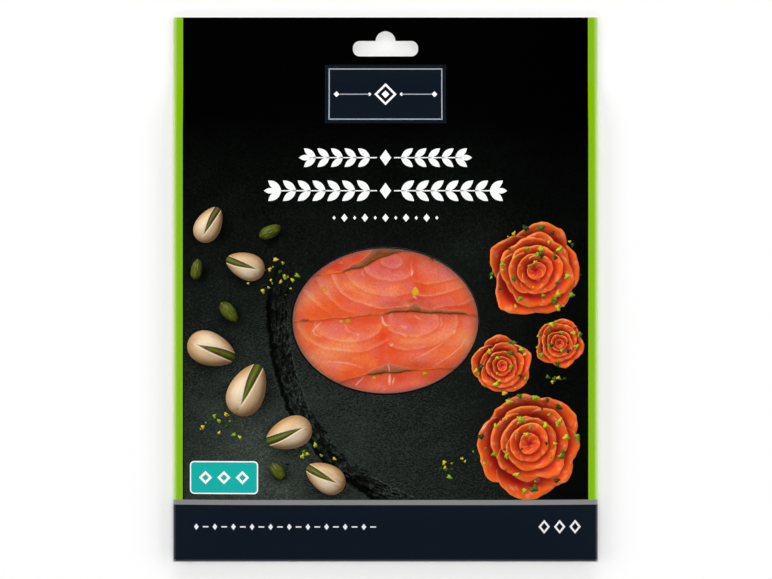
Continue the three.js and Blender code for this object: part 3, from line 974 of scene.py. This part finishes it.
def clear_of_window(x, y, margin):
    """Whether a place is outside the window's oval, made larger by a margin."""
    across = x / (WINDOW_HALF_WIDTH + margin)
    return across**2 + ((y - WINDOW_Y) / (WINDOW_HALF_HEIGHT + margin)) ** 2 > 1


# The pictured round plate of slate, whose chipped rim shows on the lower left.
PLATE_CENTRE = (37.0, -11.0)
PLATE_RADIUS = 80.0
PLATE_ENDS = (158.0, 251.0)  # degrees between which its rim shows
PLATE_HALF_RIM = 5.4
PICTURE_FOOT = -83.9  # the picture ends at the grey rule over the foot


def print_plate_rim(ink):
    """The plate's rim as a band along an arc: stepped, flaked stone, with its shadow outside it.

    Its relief is a ridged noise, one minus its size, drawn out along the rim, over finer grit."""
    start, end = np.radians(PLATE_ENDS)
    length = PLATE_RADIUS * (end - start)
    a, b = unit_grid(430, 46, length / 2, PLATE_HALF_RIM)
    along = (a + 1) / 2 * length
    still = 0 * along
    ragged = 1.6 * cloud(along, still, 9, seed=400) + 0.9 * cloud(along, still, 1.6, seed=401)
    across = b * PLATE_HALF_RIM + ragged * (0.4 + 0.6 * np.abs(b)) * (1 - b**8)
    angle = start + along / PLATE_RADIUS
    x = PLATE_CENTRE[0] + (PLATE_RADIUS + across) * np.cos(angle)
    y = np.maximum(PLATE_CENTRE[1] + (PLATE_RADIUS + across) * np.sin(angle), PICTURE_FOOT)
    ridges = 1 - np.abs(cloud(0.45 * along + 0.4 * across, 1.5 * across, 3.0, seed=410))
    grit = cloud(0.8 * along, 1.6 * across, 0.9, seed=415)
    relief = 3.2 * ridges + 0.45 * grit - 2.5 * ramp(b, 0.1, 0.6)
    rim = ramp(b, -0.78, -0.70) * (1 - ramp(b, 0.42, 0.54)) * ramp(along, 0, 30)
    shadow = 0.92 * (1 - ramp(np.abs(b - 0.62), 0.10, 0.32)) * ramp(along, 0, 30)
    base = slate_shade(x, y) * (1 - shadow)[..., None]
    stone = 0.020 * ramp(along, -20, 70)[..., None] * SLATE_HUE
    stone = pictured(stone, relief, x, y, gloss=0.05, ambient=0.0)
    stone = stone * (0.3 + 0.7 * ramp(grit + ridges, 0.5, 1.1))[..., None]
    glints = ramp(cloud(along, still, 3, seed=425), -0.4, 0.4) * ramp(along, 5, 60)
    edge = 0.035 * bell(b + 0.72, 0.035) * glints
    ink.lay(x, y, mix(base, stone, rim[..., None]) + edge[..., None] * SLATE_HUE, 2)


def paint_crease_shade_and_highlight(ink):
    """The board just outside the die-cut window: painted shade in a crease, and a thin painted
    highlight.
    """
    angle = np.linspace(0, 2 * math.pi, 241)[:, None]
    out = np.array([0.15, 0.22, 0.40, 0.47, 0.54, 0.70, 0.77])[None, :]
    line = bell(out - 0.47, 0.08)
    # painted highlight along the thin line, brightest towards the upper right
    lit = 0.004 + 0.05 * (0.5 + 0.5 * np.cos(angle - math.radians(62))) ** 3
    x = (WINDOW_HALF_WIDTH + out) * np.cos(angle)
    y = WINDOW_Y + (WINDOW_HALF_HEIGHT + out) * np.sin(angle)
    # painted shade: the slate darkened within 0.72 mm of the window, as in a crease
    shade = slate_shade(x, y) * (0.3 + 0.7 * (out > 0.72))[..., None]
    ink.lay(x, y, shade + (lit * line)[..., None], 1)


def print_slate_and_window_light(material):
    """Slate plate rim, painted shade and highlight round the window, soft shadows of nuts and
    kernels.
    """
    ink = Ink("print_slate_and_window_light", material)
    for (cx, cy), length, _ in (*NUTS, *KERNELS):
        u, v = round_grid(22, length)
        x, y = cx + 0.9 + u * length * 0.72, cy - 1.4 + v * length * 0.6
        dark = np.clip(1 - u * u - v * v, 0, 1) ** 1.5
        inside = np.abs(x) < PRINT_HALF_WIDTH
        x = np.clip(x, -PRINT_HALF_WIDTH, PRINT_HALF_WIDTH)
        ink.lay(x, y, slate_shade(x, y) * (1 - 0.85 * dark * inside)[..., None], 1)
    print_plate_rim(ink)
    paint_crease_shade_and_highlight(ink)
    ink.finish()


# ---- The slices ----

FLOOR = BOARD + CLEARANCE  # where the lowest slice lies in the sleeve


def flesh_ceiling(x, y):
    """How high the flesh reaches under the film, with room for the chips."""
    return front_height(x, y) - BOARD - CLEARANCE - FILM_THICKNESS - FILM_ROOM


def edge_line(k, x):
    """Lower edge of slice k, torn a little by the knife; for -1, where the first slice lies alone."""
    if k < 0:
        return np.full(np.shape(x), STACK_ALONE)
    tear = 0.3 * value_noise(x, 0 * x, 2.6, 20 + k) + 0.15 * value_noise(x, 0 * x, 0.9, 30 + k)
    return line_through(SLICE_EDGES[k], x) + tear


def far_end(k, x):
    """Upper end of slice k, hidden under its neighbours."""
    return np.full(np.shape(x), STACK_END) if k < 1 else edge_line(k - 2, x) - 2.5


def tuck_face(k, x, y):
    """The face between slice k and the one tucked under it: a dive from the lip, level, then down."""
    ceiling = flesh_ceiling(x, y)
    dived = ramp(y - edge_line(k, x), 0, REACH)
    landed = ramp(y - edge_line(k - 1, x), -REACH - 1, -1)
    return mix(mix(ceiling - LIP, (FLOOR + ceiling) / 2, dived), FLOOR, landed)


# The muscle flakes of the left and right half of each slice are nested ovals: their centre, how many
# times as wide as high they are, and the heights of the ovals that fat lines follow.
FLAKES = (
    (((-30, 24), 1.3, (11, 20.5)), ((14, 26), 1.3, (7, 12))),
    (
        ((2.7, 11.1), 1.38, (3.0, 7.8, 13.8, 18.6, 23.0, 27.9)),
        ((16, 24), 1.28, (21.5, 26.2, 31.6)),
    ),
    (((-14.6, -12.6), 1.67, (8.3, 12.2)), ((10.8, -12.9), 1.7, (6.1, 10.6))),
    (((-12, -38), 1.5, (30,)), ((14, -39), 1.6, (30,))),
)
MIDLINES = (0.0, 11.5, 1.2, 3.0)  # x at which the left half of each slice meets the right
LINE_STRENGTH = (1.0, 1.0, 0.6, 1.0)  # how plainly the fat lines of each slice show


def flake_height(k, x, y, side):
    """Height of the nested oval that runs through each point, wavered by soft noise."""
    (cx, cy), aspect, _ = FLAKES[k][side]
    x = x + 1.1 * cloud(x, y, 8, seed=40 + k)
    y = y + 1.1 * cloud(x, y, 8, seed=50 + k)
    return np.hypot((x - cx) / aspect, y - cy)


def fat_line(k, x, y):
    """How much fat shows on the flake lines, a thin bell, and in a soft band inside each, a wide one.

    Both come and go along the line, and the thin one is frayed by noise."""
    right = ramp(x - MIDLINES[k], -0.5, 0.5)
    fray = 0.16 * cloud(2 * x - y, y, 0.9, seed=75, octaves=2)
    thin_total, wide_total = 0, 0
    for side, share in ((0, 1 - right), (1, right)):
        height = flake_height(k, x, y, side)
        for n, line in enumerate(FLAKES[k][side][2]):
            fade = ramp(cloud(x, y, 10, seed=60 + 7 * k + n, octaves=2), -0.6, 0.35)
            shown = share * LINE_STRENGTH[k] * fade
            thin = 0.16 + 0.08 * cloud(x, y, 2, seed=65 + n)
            thin_total = thin_total + shown * bell(height - line + fray, thin)
            wide_total = wide_total + shown * bell(height - line + 0.4, 0.55)
    return thin_total, wide_total


def flake_phase(k, x, y):
    """Within each flake, 0 just outside one fat line and 1 just inside the next."""
    phases = []
    for side in (0, 1):
        lines = FLAKES[k][side][2]
        lines = (0, *lines, lines[-1] + 6)
        height = np.clip(flake_height(k, x, y, side), 0, lines[-1] - 1e-6)
        phases.append(np.interp(height, lines, np.arange(len(lines))) % 1)
    return mix(phases[0], phases[1], ramp(x - MIDLINES[k], -0.5, 0.5))


def flesh_relief(k, x, y):
    """Shallow relief of the flakes: each swells a little and sinks at its fat line."""
    phase = flake_phase(k, x, y)
    swell = 0.12 * np.sin(math.pi * phase) ** 0.5 + 0.05 * cloud(x, y, 4, seed=70 + k)
    return 0.17 - swell


def bare_top(k, x, y):
    """Upper face of slice k where it is bare.

    It dips beside the slice above, thins at the stack's ends, and carries the flakes' relief."""
    ceiling = flesh_ceiling(x, y)
    alone = np.minimum(FLOOR + SLICE_END, ceiling)
    thinned = np.zeros(np.shape(x))
    if k == 0:
        thinned = ramp(y, STACK_ALONE - 6, STACK_ALONE + 6)
    if k == len(SLICE_EDGES) - 1:
        thinned = ramp(STACK_THIN - y, 0, 14)
    dip = 1 - ramp(edge_line(k - 1, x) - y, 0, 12) if k > 0 else 0
    return mix(ceiling, alone, thinned) - 0.9 * LIP * dip - flesh_relief(k, x, y)


def slice_faces(k, x, y):
    """Upper and lower faces of slice k before its rim is rounded."""
    top = bare_top(k, x, y)
    if k > 0:
        top = np.where(y > edge_line(k - 1, x), tuck_face(k - 1, x, y) - CLEARANCE, top)
    bottom = np.full(np.shape(x), FLOOR) if k == len(SLICE_EDGES) - 1 else tuck_face(k, x, y)
    return np.maximum(top, bottom + 0.1), bottom


def slice_rows(k, x, fine):
    """The y of a slice's grid rows: they follow its own edge, the edge above it and its far end."""
    low, above, high = edge_line(k, x), edge_line(k - 1, x), far_end(k, x)
    from_edge = [*rim_steps(SLICE_RIM, 5), *np.arange(SLICE_RIM + fine, REACH, fine), REACH]
    bare = np.linspace(0, 1, round(14 / fine))[1:, None]
    rows = [low + np.array(from_edge)[:, None], mix(low + REACH, above - REACH - 1, bare)]
    start = above - REACH - 1
    if k > 0:
        before, past = np.arange(-REACH - 1 + fine, -0.3, fine), np.arange(0.8, REACH, 0.8)
        rows.append(above + np.array([*before, -0.15, 0.15, *past])[:, None])
        start = above + past[-1]
    rows.append(mix(start, high - SLICE_RIM, np.linspace(0, 1, 8)[1:-1, None]))
    rows.append(high - rim_steps(SLICE_RIM, 3)[::-1, None])
    return np.concatenate(rows)


def slice_body(k):
    """Slice k as a closed body with rounded rim and corners; columns are fine across the window."""
    fine = 0.34
    ends = -SLICE_HALF_WIDTH + np.concatenate([rim_steps(SLICE_RIM, 4), [3, 5.5, SLICE_CORNER]])
    side = np.concatenate([ends, np.arange(-56, -WINDOW_HALF_WIDTH - 2, 1.5)])
    half = WINDOW_HALF_WIDTH + 1.5
    xs = mirrored(side, np.linspace(-half, half, round(2 * WINDOW_HALF_WIDTH / fine)))
    rows = slice_rows(k, xs, fine)
    x = np.broadcast_to(xs, rows.shape)
    low, high = rows[0], rows[-1]
    past = np.clip(1 - (SLICE_HALF_WIDTH - np.abs(xs)) / SLICE_CORNER, 0, 1)
    drawn_in = SLICE_CORNER * (1 - np.sqrt(1 - past**2)) / (high - low)
    y = mix(rows, (low + high) / 2, drawn_in)
    from_rim = np.minimum(SLICE_HALF_WIDTH - np.abs(x), np.minimum(rows - low, high - rows))
    fill = rim_fill(from_rim, SLICE_RIM)
    top, bottom = slice_faces(k, x, y)
    middle = (top + bottom) / 2
    return body_between(x, y, mix(middle, top, fill), mix(middle, bottom, fill))


# Height of the brown band of meat next to the skin, above each slice's lower edge, as (x, height).
BROWN_BANDS = (
    ((-31, 0.9), (-27, 0.8), (-25.5, 0.3), (-18, 0.35), (-15, 1.1), (-11.6, 2.0), (-7.5, 3.6),
     (-4.5, 4.9), (0, 7.5), (12, 7.5), (16, 2)),
    ((-37, 0.3), (-34.6, 0.3), (-33.4, 0.95), (-31, 0.9), (-30, 0.3), (-2, 0.45), (2, 1.1), (9, 1.2),
     (10.4, 2.6), (11.8, 3.8), (13, 3.1), (14.6, 1.7), (19, 1.3), (26, 1.3), (30, 1.5), (33.4, 0.5),
     (37, 0.5)),
    ((-14, 0.25), (-8, 0.3), (-4.9, 2.1), (-1.5, 2.5), (2, 3.4), (5, 2.6), (7, 1.6), (10.4, 0.6),
     (14, 0.3)),
    ((-40, 0.5), (40, 0.5)),
)
# The band's dark meat and its lighter streaks, on each slice.
BROWN = (
    ("#70380E", "#A0663A"),
    ("#7A3410", "#A8683A"),
    ("#7C3C18", "#B07040"),
    ("#8A4A28", "#A86A48"),
)

# Tones of the flesh, and the soft patches of each slice that take them: x, y, half width, half
# height, tone and strength.
FLESH = "#E5643F"
TONES = {
    "rose": "#DE7072",
    "blush": "#EE7C6C",
    "peach": "#F69668",
    "amber": "#F27C34",
    "orange": "#E9560C",
    "scarlet": "#E24014",
    "brick": "#BC3E1E",
}
# Some pale patches, such as the peach and blush at the far left of the second slice, are partly
# painted sheen on top of the flesh's own tone.
PATCHES = (
    (
        (-20, 9, 9, 3, "scarlet", 0.9), (-12, 12.5, 7, 3, "scarlet", 0.8),
        (-29, 5.5, 4, 2, "brick", 0.7), (-22.7, 6.9, 2.2, 0.7, "amber", 0.8),
    ),
    (
        (2.9, 10.7, 3.6, 3.4, "rose", 0.9), (-4, 7.5, 6, 3.5, "rose", 0.7),
        (11, 9, 2.6, 6, "scarlet", 0.8), (24, 7, 6, 3.4, "rose", 0.8),
        (17, 9, 4, 3.5, "blush", 0.5), (28, 2, 6, 2.8, "peach", 0.35),
        (18, 2, 4, 2, "amber", 0.5), (14.6, -0.5, 2, 5, "scarlet", 0.7),
        (11, 4.6, 2.4, 2, "scarlet", 0.8), (4, 4.5, 5, 2, "blush", 0.8),
        (1, 0.5, 6, 2.2, "peach", 0.6), (-8, -1, 6, 3, "peach", 0.85),
        (-3, -4.6, 5, 2, "blush", 0.8), (4, -7, 7, 2.6, "brick", 0.8),
        (11.4, -4.6, 3, 1.6, "brick", 0.8), (26, -5.6, 4, 2, "orange", 0.4),
        (18, -6, 7, 2.6, "brick", 0.6), (31, -7, 6, 2.5, "brick", 0.3),
        (-18, -4.5, 5, 3, "orange", 0.7), (-17, -1.9, 6, 2.2, "orange", 0.8),
        (-25, -8, 6, 3, "orange", 0.8), (-33, -9.5, 4, 3, "orange", 0.5),
        (-32, -2.5, 4, 4, "peach", 0.7), (-33, -1.8, 3, 2.5, "blush", 0.3),
        (-24, 0.5, 4, 3, "peach", 0.8), (-14, 2.2, 4, 2, "peach", 0.7),
    ),
    (
        (-25, -12.7, 6, 2, "scarlet", 0.8), (-6, -11.9, 7, 2, "scarlet", 0.7),
        (-19, -16.5, 6, 3.4, "blush", 0.6), (-10, -18.4, 4, 2.4, "blush", 0.6),
        (-31, -17, 4, 4, "amber", 0.5), (-17, -22.5, 9, 2.4, "peach", 0.8),
        (-24, -26, 7, 2.4, "peach", 0.8), (-9, -27, 6, 3, "amber", 0.6),
        (-16, -32.5, 8, 2.4, "orange", 0.7), (-0.5, -19, 2.8, 5, "scarlet", 0.9),
        (0.5, -27, 4.5, 4.5, "scarlet", 0.9), (1.4, -26.3, 2.6, 2.6, "orange", 0.8),
        (4, -12.6, 4, 2, "rose", 0.6), (9, -15.2, 4, 2, "rose", 0.9),
        (16, -15.5, 5, 3, "blush", 0.8), (11, -20, 6, 2, "peach", 0.9),
        (22, -18, 6, 3.4, "peach", 0.8), (28.5, -18, 4, 4, "peach", 0.8),
        (32.5, -20, 3, 3.5, "peach", 0.8), (24, -15.5, 3, 2.5, "blush", 0.5),
        (32, -13.5, 3, 2.5, "blush", 0.8), (14, -26, 6, 2.2, "blush", 0.6),
        (26, -25.5, 6, 2.5, "amber", 0.5), (12, -30.2, 9, 2.2, "brick", 0.6),
    ),
    (
        (-12, -37.5, 4, 3, "rose", 0.6), (-4, -39, 5, 2.4, "blush", 0.9),
        (6, -35, 5, 1.8, "scarlet", 0.7), (12, -38, 6, 2.4, "blush", 0.6),
        (21, -35, 5, 2.5, "brick", 0.4),
    ),
)

LEANER = np.array([0.94, 0.73, 0.54])  # red, green and blue of flesh at its deepest in a flake
FATTER = np.array([1.06, 1.55, 1.8])  # and at its palest
MOTTLE = np.array([0.4, 1.4, 1.7])  # powers of the mottling that red, green and blue take
# Film and gloss veil the flesh and dull its red, so the veil is taken off what is drawn, and the
# rest is drawn this much warmer.
FLESH_GAIN = np.array([1.12, 1.03, 0.95])
FILM_VEIL = np.array([0.0, 0.004, 0.006])
COLOUR_LIMITS = (0.002, 0.97)

# Short pale strands of connective tissue: slice, points, half width and strength.
STRANDS = (
    (0, ((-18.6, 10.6), (-17.6, 10.9), (-17.0, 10.2)), 0.25, 0.35),
    (1, ((10.8, 12.5), (10.2, 9.6), (10.5, 7.6)), 0.22, 0.4),
    (1, ((10.6, 7.9), (10.7, 6.6), (10.5, 5.4)), 0.36, 1.0),
    (1, ((11.0, -2.4), (11.7, -3.0), (12.4, -3.7)), 0.36, 0.75),
    (1, ((-8.9, 7.8), (-9.4, 6.4), (-8.2, 5.1)), 0.3, 0.4),
    # painted highlight: a soft spot of sheen, drawn as a strand
    (1, ((3.0, 6.0), (5.4, 5.5)), 0.35, 0.3),
    (2, ((-1.3, -10.9), (-1.0, -12.9), (-0.2, -14.2), (1.2, -14.5)), 0.42, 0.95),
    (2, ((3.0, -21.6), (2.4, -22.3), (1.7, -22.4)), 0.42, 0.6),
    (2, ((11.3, -10.2), (12.8, -11.2), (14.1, -12.1)), 0.2, 0.7),
    (2, ((-25.9, -13.3), (-27.6, -14.8), (-29.0, -16.4), (-28.1, -17.9), (-25.8, -19.0)), 0.4, 0.6),
    (2, ((-16.5, -13.0), (-16.0, -15.2), (-15.0, -16.7), (-12.1, -17.6)), 0.22, 0.4),
    (2, ((-11.6, -17.7), (-10.4, -18.3)), 0.5, 0.45),
    (2, ((-25.9, -28.8), (-20.8, -28.9), (-16.0, -29.3), (-12.6, -30.0), (-8.6, -31.5)), 0.2, 0.65),
    (2, ((4.6, -16.9), (7.4, -18.1), (8.6, -19.2)), 0.28, 0.55),
    # painted highlight: a soft spot of sheen, drawn as a strand
    (2, ((6.4, -14.4), (8.4, -15.6)), 1.0, 0.3),
    (2, ((22.0, -10.6), (22.4, -13.4), (21.7, -15.4)), 0.24, 0.5),
    (2, ((28.1, -15.9), (27.1, -18.0)), 0.36, 0.6),
    (2, ((11.3, -27.8), (16.5, -25.4), (21.0, -22.6), (25.4, -19.4)), 0.24, 0.4),
    (2, ((18.5, -30.9), (25.3, -26.8), (29.9, -23.0), (32.8, -18.4)), 0.22, 0.45),
    (2, ((0.9, -29.9), (1.4, -31.4), (1.5, -33.0)), 0.35, 0.5),
    (3, ((1.9, -33.6), (1.6, -36.0), (1.5, -38.0)), 0.5, 0.95),
    (3, ((3.6, -35.2), (3.2, -36.6), (2.7, -38.0)), 0.32, 0.85),
    (3, ((-8.4, -34.9), (-10.8, -36.9), (-12.2, -38.7)), 0.24, 0.8),
    (3, ((-1.6, -40.9), (0.4, -39.2)), 0.2, 0.4),
)


def flesh_colours(k, x, y):
    """Colour of slice k, with painted light where the window's edge shades it, painted shade at its
    rim.

    Soft patches lie over coral. Each flake goes from lean to fat, by powers of two colours, and is
    mottled by noise. Over it lie fat lines, specks of painted sheen, the brown band above the lower
    edge with painted light and shade on that edge, and pale strands, two of them painted highlights."""
    colours = all_over(FLESH, x)
    waver_x, waver_y = x + 0.9 * cloud(x, y, 7, seed=80), y + 0.9 * cloud(x, y, 7, seed=90)
    for px, py, width, height, tone, strength in PATCHES[k]:
        near = bell(np.hypot((waver_x - px) / width, (waver_y - py) / height), 1)
        colours = tinted(colours, (TONES[tone], strength * near))
    colours = tinted(
        colours,
        (TONES["rose"], 0.4 * ramp(cloud(x, y, 5, seed=200 + k), 0.0, 0.6)),
        (TONES["amber"], 0.25 * ramp(cloud(x, y, 5, seed=210 + k), 0.1, 0.6)),
    )
    phase = flake_phase(k, x, y)
    lively = ramp(cloud(x, y, 9, seed=85) - 0.018 * x, -0.5, 0.5)
    height = y - edge_line(k, x)
    near_edge = 1 - ramp(height, 0.6, 5.0)
    deep = (1 - ramp(phase, 0.04, 0.42)) * (1.1 - lively) + 0.5 * near_edge
    pale = ramp(phase, 0.55, 0.97) * (0.15 + 0.85 * lively) * (1 - 0.8 * near_edge)
    fibres = cloud(1.3 * x + 3 * phase, 2.6 * y, 0.9, seed=95 + k)
    threads = value_noise(1.1 * x + 2.2 * y, 0.35 * y - 0.2 * x, 0.8, seed=97 + k)
    mottle = 1 + 0.07 * cloud(x, y, 3.0, seed=100 + k) + 0.06 * fibres + 0.04 * threads
    colours = colours * LEANER ** deep[..., None] * FATTER ** pale[..., None]
    colours = colours * mottle[..., None] ** MOTTLE
    # specks: pale flecks in some zones, painted sheen of the moist flesh under the film
    specks = ramp(cloud(1.4 * x + y, 1.4 * y - x, 0.8, seed=230 + k), 0.25, 0.8)
    line, beside = fat_line(k, x, y)
    band = np.interp(x, *np.array(BROWN_BANDS[k]).T) + 0.3 * cloud(x, y, 1.6, seed=120 + k)
    brown = (1 - ramp(height, band - 0.35, band + 0.25)) * ramp(band, 0.2, 1.0)
    streaks = np.clip(0.5 + 0.6 * cloud(x, 2 * y, 2.2, seed=130 + k), 0, 1)
    dark, light = BROWN[k]
    colours = tinted(
        colours,
        ("#FAB8A0", 0.25 * specks * ramp(cloud(x, y, 11, seed=240 + k), -0.1, 0.5)),
        ("#F89C78", 0.20 * beside * (1 + cloud(x, y, 3, seed=105))),
        ("#FBB89C", 0.46 * line * (1 + 0.6 * cloud(x, y, 1.2, seed=106))),
        # painted light: bright orange on the lower edge where the brown band is thin, to offset the
        # shade under the lip
        ("#F08030", 0.75 * bell(height - 0.1, 0.5) * (1 - ramp(band, 0.4, 1.0))),
        ("#E0A088", 0.3 * bell(height - band - 0.15, 0.35) * ramp(band, 0.6, 1.2)),
        (dark, 0.95 * brown),
        (light, 0.9 * brown * streaks),
        ("#B0705A", 0.65 * brown * ramp(height / np.maximum(band, 0.3), 0.35, 0.9)),
        # the dark meat at the lower edge, deepened by painted shade where the lip overlaps the slice
        # below
        ("#4E2208", 0.8 * bell(height - 0.2, 0.32) * ramp(band, 0.5, 1.2)),
    )
    for owner, points, width, strength in STRANDS:
        if owner == k:
            distance, share = distance_to_line(x + 0.25 * cloud(x, y, 1.5, seed=110), y, points)
            taper = 0.35 + 0.65 * np.sin(math.pi * np.clip(share, 0.04, 0.96)) ** 0.6
            strand = taper * bell(distance, 0.8 * width * taper)
            colours = tinted(colours, ("#FBD2C0", 0.9 * strength * strand))
    out = np.hypot(x / WINDOW_HALF_WIDTH, (y - WINDOW_Y) / WINDOW_HALF_HEIGHT)
    within = WINDOW_HALF_HEIGHT * (1 - out)
    # painted light: flesh a few millimetres in from the window's edge drawn lighter, where the edge
    # shades it
    painted_light = (0.05 + 0.04 * ramp(y, -25, 5)) * (1 - ramp(within, 3, 9))
    colours = colours * (1 + painted_light)[..., None]
    # painted shade: flesh within 2 mm of the window's rim greyed, as in the board's shadow
    colours = tinted(colours, ("#8E766E", 0.55 * (1 - ramp(within, 0.1, 2.0))))
    return np.clip(colours * FLESH_GAIN - FILM_VEIL, *COLOUR_LIMITS)


def make_chip(k, cx, cy, size, turn, colour):
    """A squat nugget of pistachio: a subdivided icosahedron, pressed flat, tapered and turned.

    Two sizes of noise dent it, as a factor of each point's distance from its middle."""
    shape = bmesh.new()
    bmesh.ops.create_icosphere(shape, subdivisions=3, radius=1)
    unit = np.array([vertex.co for vertex in shape.verts])
    faces = np.array([[vertex.index for vertex in face.verts] for face in shape.faces])
    shape.free()
    a, b, c = unit.T
    lump = 1 + 0.10 * value_noise(a * 3 + cx, b * 3 + c * 2, 1.1, seed=140)
    lump += 0.07 * value_noise(a * 8 + cx, b * 8 + c * 5, 1.0, seed=141)
    rise = min(0.6 * size, FILM_ROOM - CLEARANCE)
    u, v, w = (unit * lump[:, None] * (size, 0.78 * size, rise / 0.85)).T
    x, y = placed(u, v * (1 - 0.45 * ramp(u / size, -0.2, 1)), (cx, cy), turn)
    z = bare_top(k, np.array([cx]), np.array([cy]))[0] + w
    colours = tinted(
        all_over(colour, x),
        ("#B47808", 0.3 * ramp(cloud(x, y, 0.9, seed=150), 0.1, 0.7)),
        ("#FFC840", 0.3 * ramp(cloud(x, y, 0.6, seed=151), 0.2, 0.8)),
    )
    return np.column_stack([x, y, z]), faces, np.clip(colours - FILM_VEIL, *COLOUR_LIMITS)


def make_slice(k, material):
    """One slice with the chips of pistachio that lie on it."""
    points, faces = slice_body(k)
    parts = [(points, faces, flesh_colours(k, points[:, 0], points[:, 1]))]
    parts += [make_chip(k, *chip) for owner, *chip in CHIPS if owner == k]
    faces, count = [], 0
    for part_points, part_faces, _ in parts:
        faces += (part_faces + count).tolist()
        count += len(part_points)
    points = np.concatenate([part[0] for part in parts])
    colours = np.concatenate([part[2] for part in parts])
    mesh = new_mesh(f"salmon_{k + 1}", points, faces, colours)
    add_piece(f"salmon_{k + 1}", mesh, material, f"slice_{k + 1}")


# ---- The film ----


def drawn_down(x, y):
    """Height of the film's underside on the fish: on each slice, bridged to the lip above it.

    It rises over each chip as a bell."""
    height = bare_top(len(SLICE_EDGES) - 1, x, y)
    for k in range(len(SLICE_EDGES) - 2, -1, -1):
        height = mix(height, bare_top(k, x, y), ramp(y - edge_line(k, x), -FILM_BRIDGE, -0.1))
    for _, cx, cy, size, *_ in CHIPS:
        height = height + (FILM_ROOM - FILM_GAP) * bell(np.hypot(x - cx, y - cy), 1.5 * size)
    return height + FILM_GAP


def film_top(x, y):
    """Upper face of the film: flat on its seal, drawn down on the fish, tented over the chips."""
    seal = BOARD + CLEARANCE + FILM_THICKNESS
    across = 1 - ramp(np.abs(x), DOME_HALF_WIDTH, DOME_HALF_WIDTH + DOME_SIDE)
    foot = ramp(y, DOME_ENDS[0] - DOME_SIDE, DOME_ENDS[0])
    head = 1 - ramp(y, DOME_ENDS[1], DOME_ENDS[1] + DOME_SIDE)
    return mix(seal, drawn_down(x, y) + FILM_THICKNESS, across * foot * head)


def make_film():
    """The film as a body of even thickness, on a grid that is fine under the window."""
    coarse, fine, margin = 2.0, 0.6, 2
    half = WINDOW_HALF_WIDTH + margin
    low, high = WINDOW_Y - WINDOW_HALF_HEIGHT - margin, WINDOW_Y + WINDOW_HALF_HEIGHT + margin
    start, end = FILM_ENDS
    xs = mirrored(np.arange(-FILM_HALF_WIDTH, -half, coarse), np.arange(-half, half, fine))
    below, above = np.arange(start, low, coarse), np.arange(high, end, coarse)
    x, y = np.meshgrid(xs, np.concatenate([below, np.arange(low, high, fine), above, [end]]))
    top = film_top(x, y)
    mesh = new_mesh("vacuum_skin", *body_between(x, y, top, top - FILM_THICKNESS))
    add_piece("vacuum_skin", mesh, vacuum_film(), "skin_film")


# ---- Floor, light and camera ----

FLOOR_HALF_SIZE = 4000
SOFTBOX_SIZE = (2.2, 0.9)  # metres
SOFTBOX_DISTANCE = 1.9  # metres from the pack
# Softboxes: name, azimuth and angle from the zenith in degrees, and power in watts.
SOFTBOXES = (
    ("left", 270, 66, 15.8),
    ("right", 90, 66, 15.8),
    ("top", 180, 70, 20.5),
    ("foot", 0, 68, 14),
    ("ceiling", 0, 0, 15.8),
)
PIXELS_ACROSS = 772
PIXEL = 0.4  # width that one pixel shows
CAMERA_X = 0.2


def make_floor():
    """A wide sheet of white paper, a hair below the pack."""
    half, z = FLOOR_HALF_SIZE, -0.1
    corners = [(-half, -half, z), (half, -half, z), (half, half, z), (-half, half, z)]
    floor = into_scene("floor", new_mesh("floor", corners, [(0, 1, 2, 3)]))
    paper = new_material("white_paper")
    finish_surface(paper.node_tree, "#FDFDFD", Roughness=0.9)
    floor.data.materials.append(paper)


def make_softbox(name, azimuth, from_zenith, power):
    """A large soft light that faces the pack and isn't mirrored in it."""
    lamp = bpy.data.lights.new(name, "AREA")
    lamp.shape = "RECTANGLE"
    lamp.size, lamp.size_y = SOFTBOX_SIZE
    lamp.energy = power
    softbox = into_scene(name, lamp)
    tilt, turn = math.radians(from_zenith), math.radians(azimuth)
    flat, rise = SOFTBOX_DISTANCE * math.sin(tilt), SOFTBOX_DISTANCE * math.cos(tilt)
    softbox.location = (flat * math.sin(turn), -flat * math.cos(turn), rise)
    softbox.rotation_euler = (tilt, 0, turn)
    softbox.visible_glossy = False


def make_studio():
    """Soft light from all round and above; gloss mirrors only the sky, paler towards the horizon."""
    for name, *place_and_power in SOFTBOXES:
        make_softbox(f"softbox_{name}", *place_and_power)
    world = bpy.data.worlds.new("studio")
    bpy.context.scene.world = world
    world.use_nodes = True
    tree = world.node_tree
    tree.nodes.clear()
    ray = add(tree, "ShaderNodeTexCoord").outputs["Generated"]
    up = add(tree, "ShaderNodeSeparateXYZ", {0: ray}).outputs["Z"]
    limits = {"Value": up, "From Min": 0.1, "From Max": 0.62, "To Min": 0.8, "To Max": 0.004}
    sky = add(tree, "ShaderNodeMapRange", limits, interpolation_type="SMOOTHSTEP").outputs[0]
    light = add(tree, "ShaderNodeBackground", {"Color": (1, 1, 1, 1), "Strength": sky})
    add(tree, "ShaderNodeOutputWorld", {"Surface": light.outputs[0]})


def make_camera():
    """A long lens straight above the pack, so that it shows as flat as a drawing."""
    camera = bpy.data.cameras.new("camera")
    camera.lens = 200
    camera.sensor_width = 36
    camera.clip_end = 10
    stand = into_scene("camera", camera)
    distance = PIXELS_ACROSS * PIXEL * MM * camera.lens / camera.sensor_width
    stand.location = (CAMERA_X * MM, 0, distance + EDGE * MM)
    bpy.context.scene.camera = stand
    bpy.context.scene.view_settings.view_transform = "Standard"


make_camera()
make_studio()
make_floor()
board = laminated_print()
make_sleeve(board)
print_slate_and_window_light(board)
ink = printing_ink()
print_ornaments(ink)
print_roses(ink)
print_pistachios(ink)
salmon = cured_salmon()
for k in range(len(SLICE_EDGES)):
    make_slice(k, salmon)
make_film()
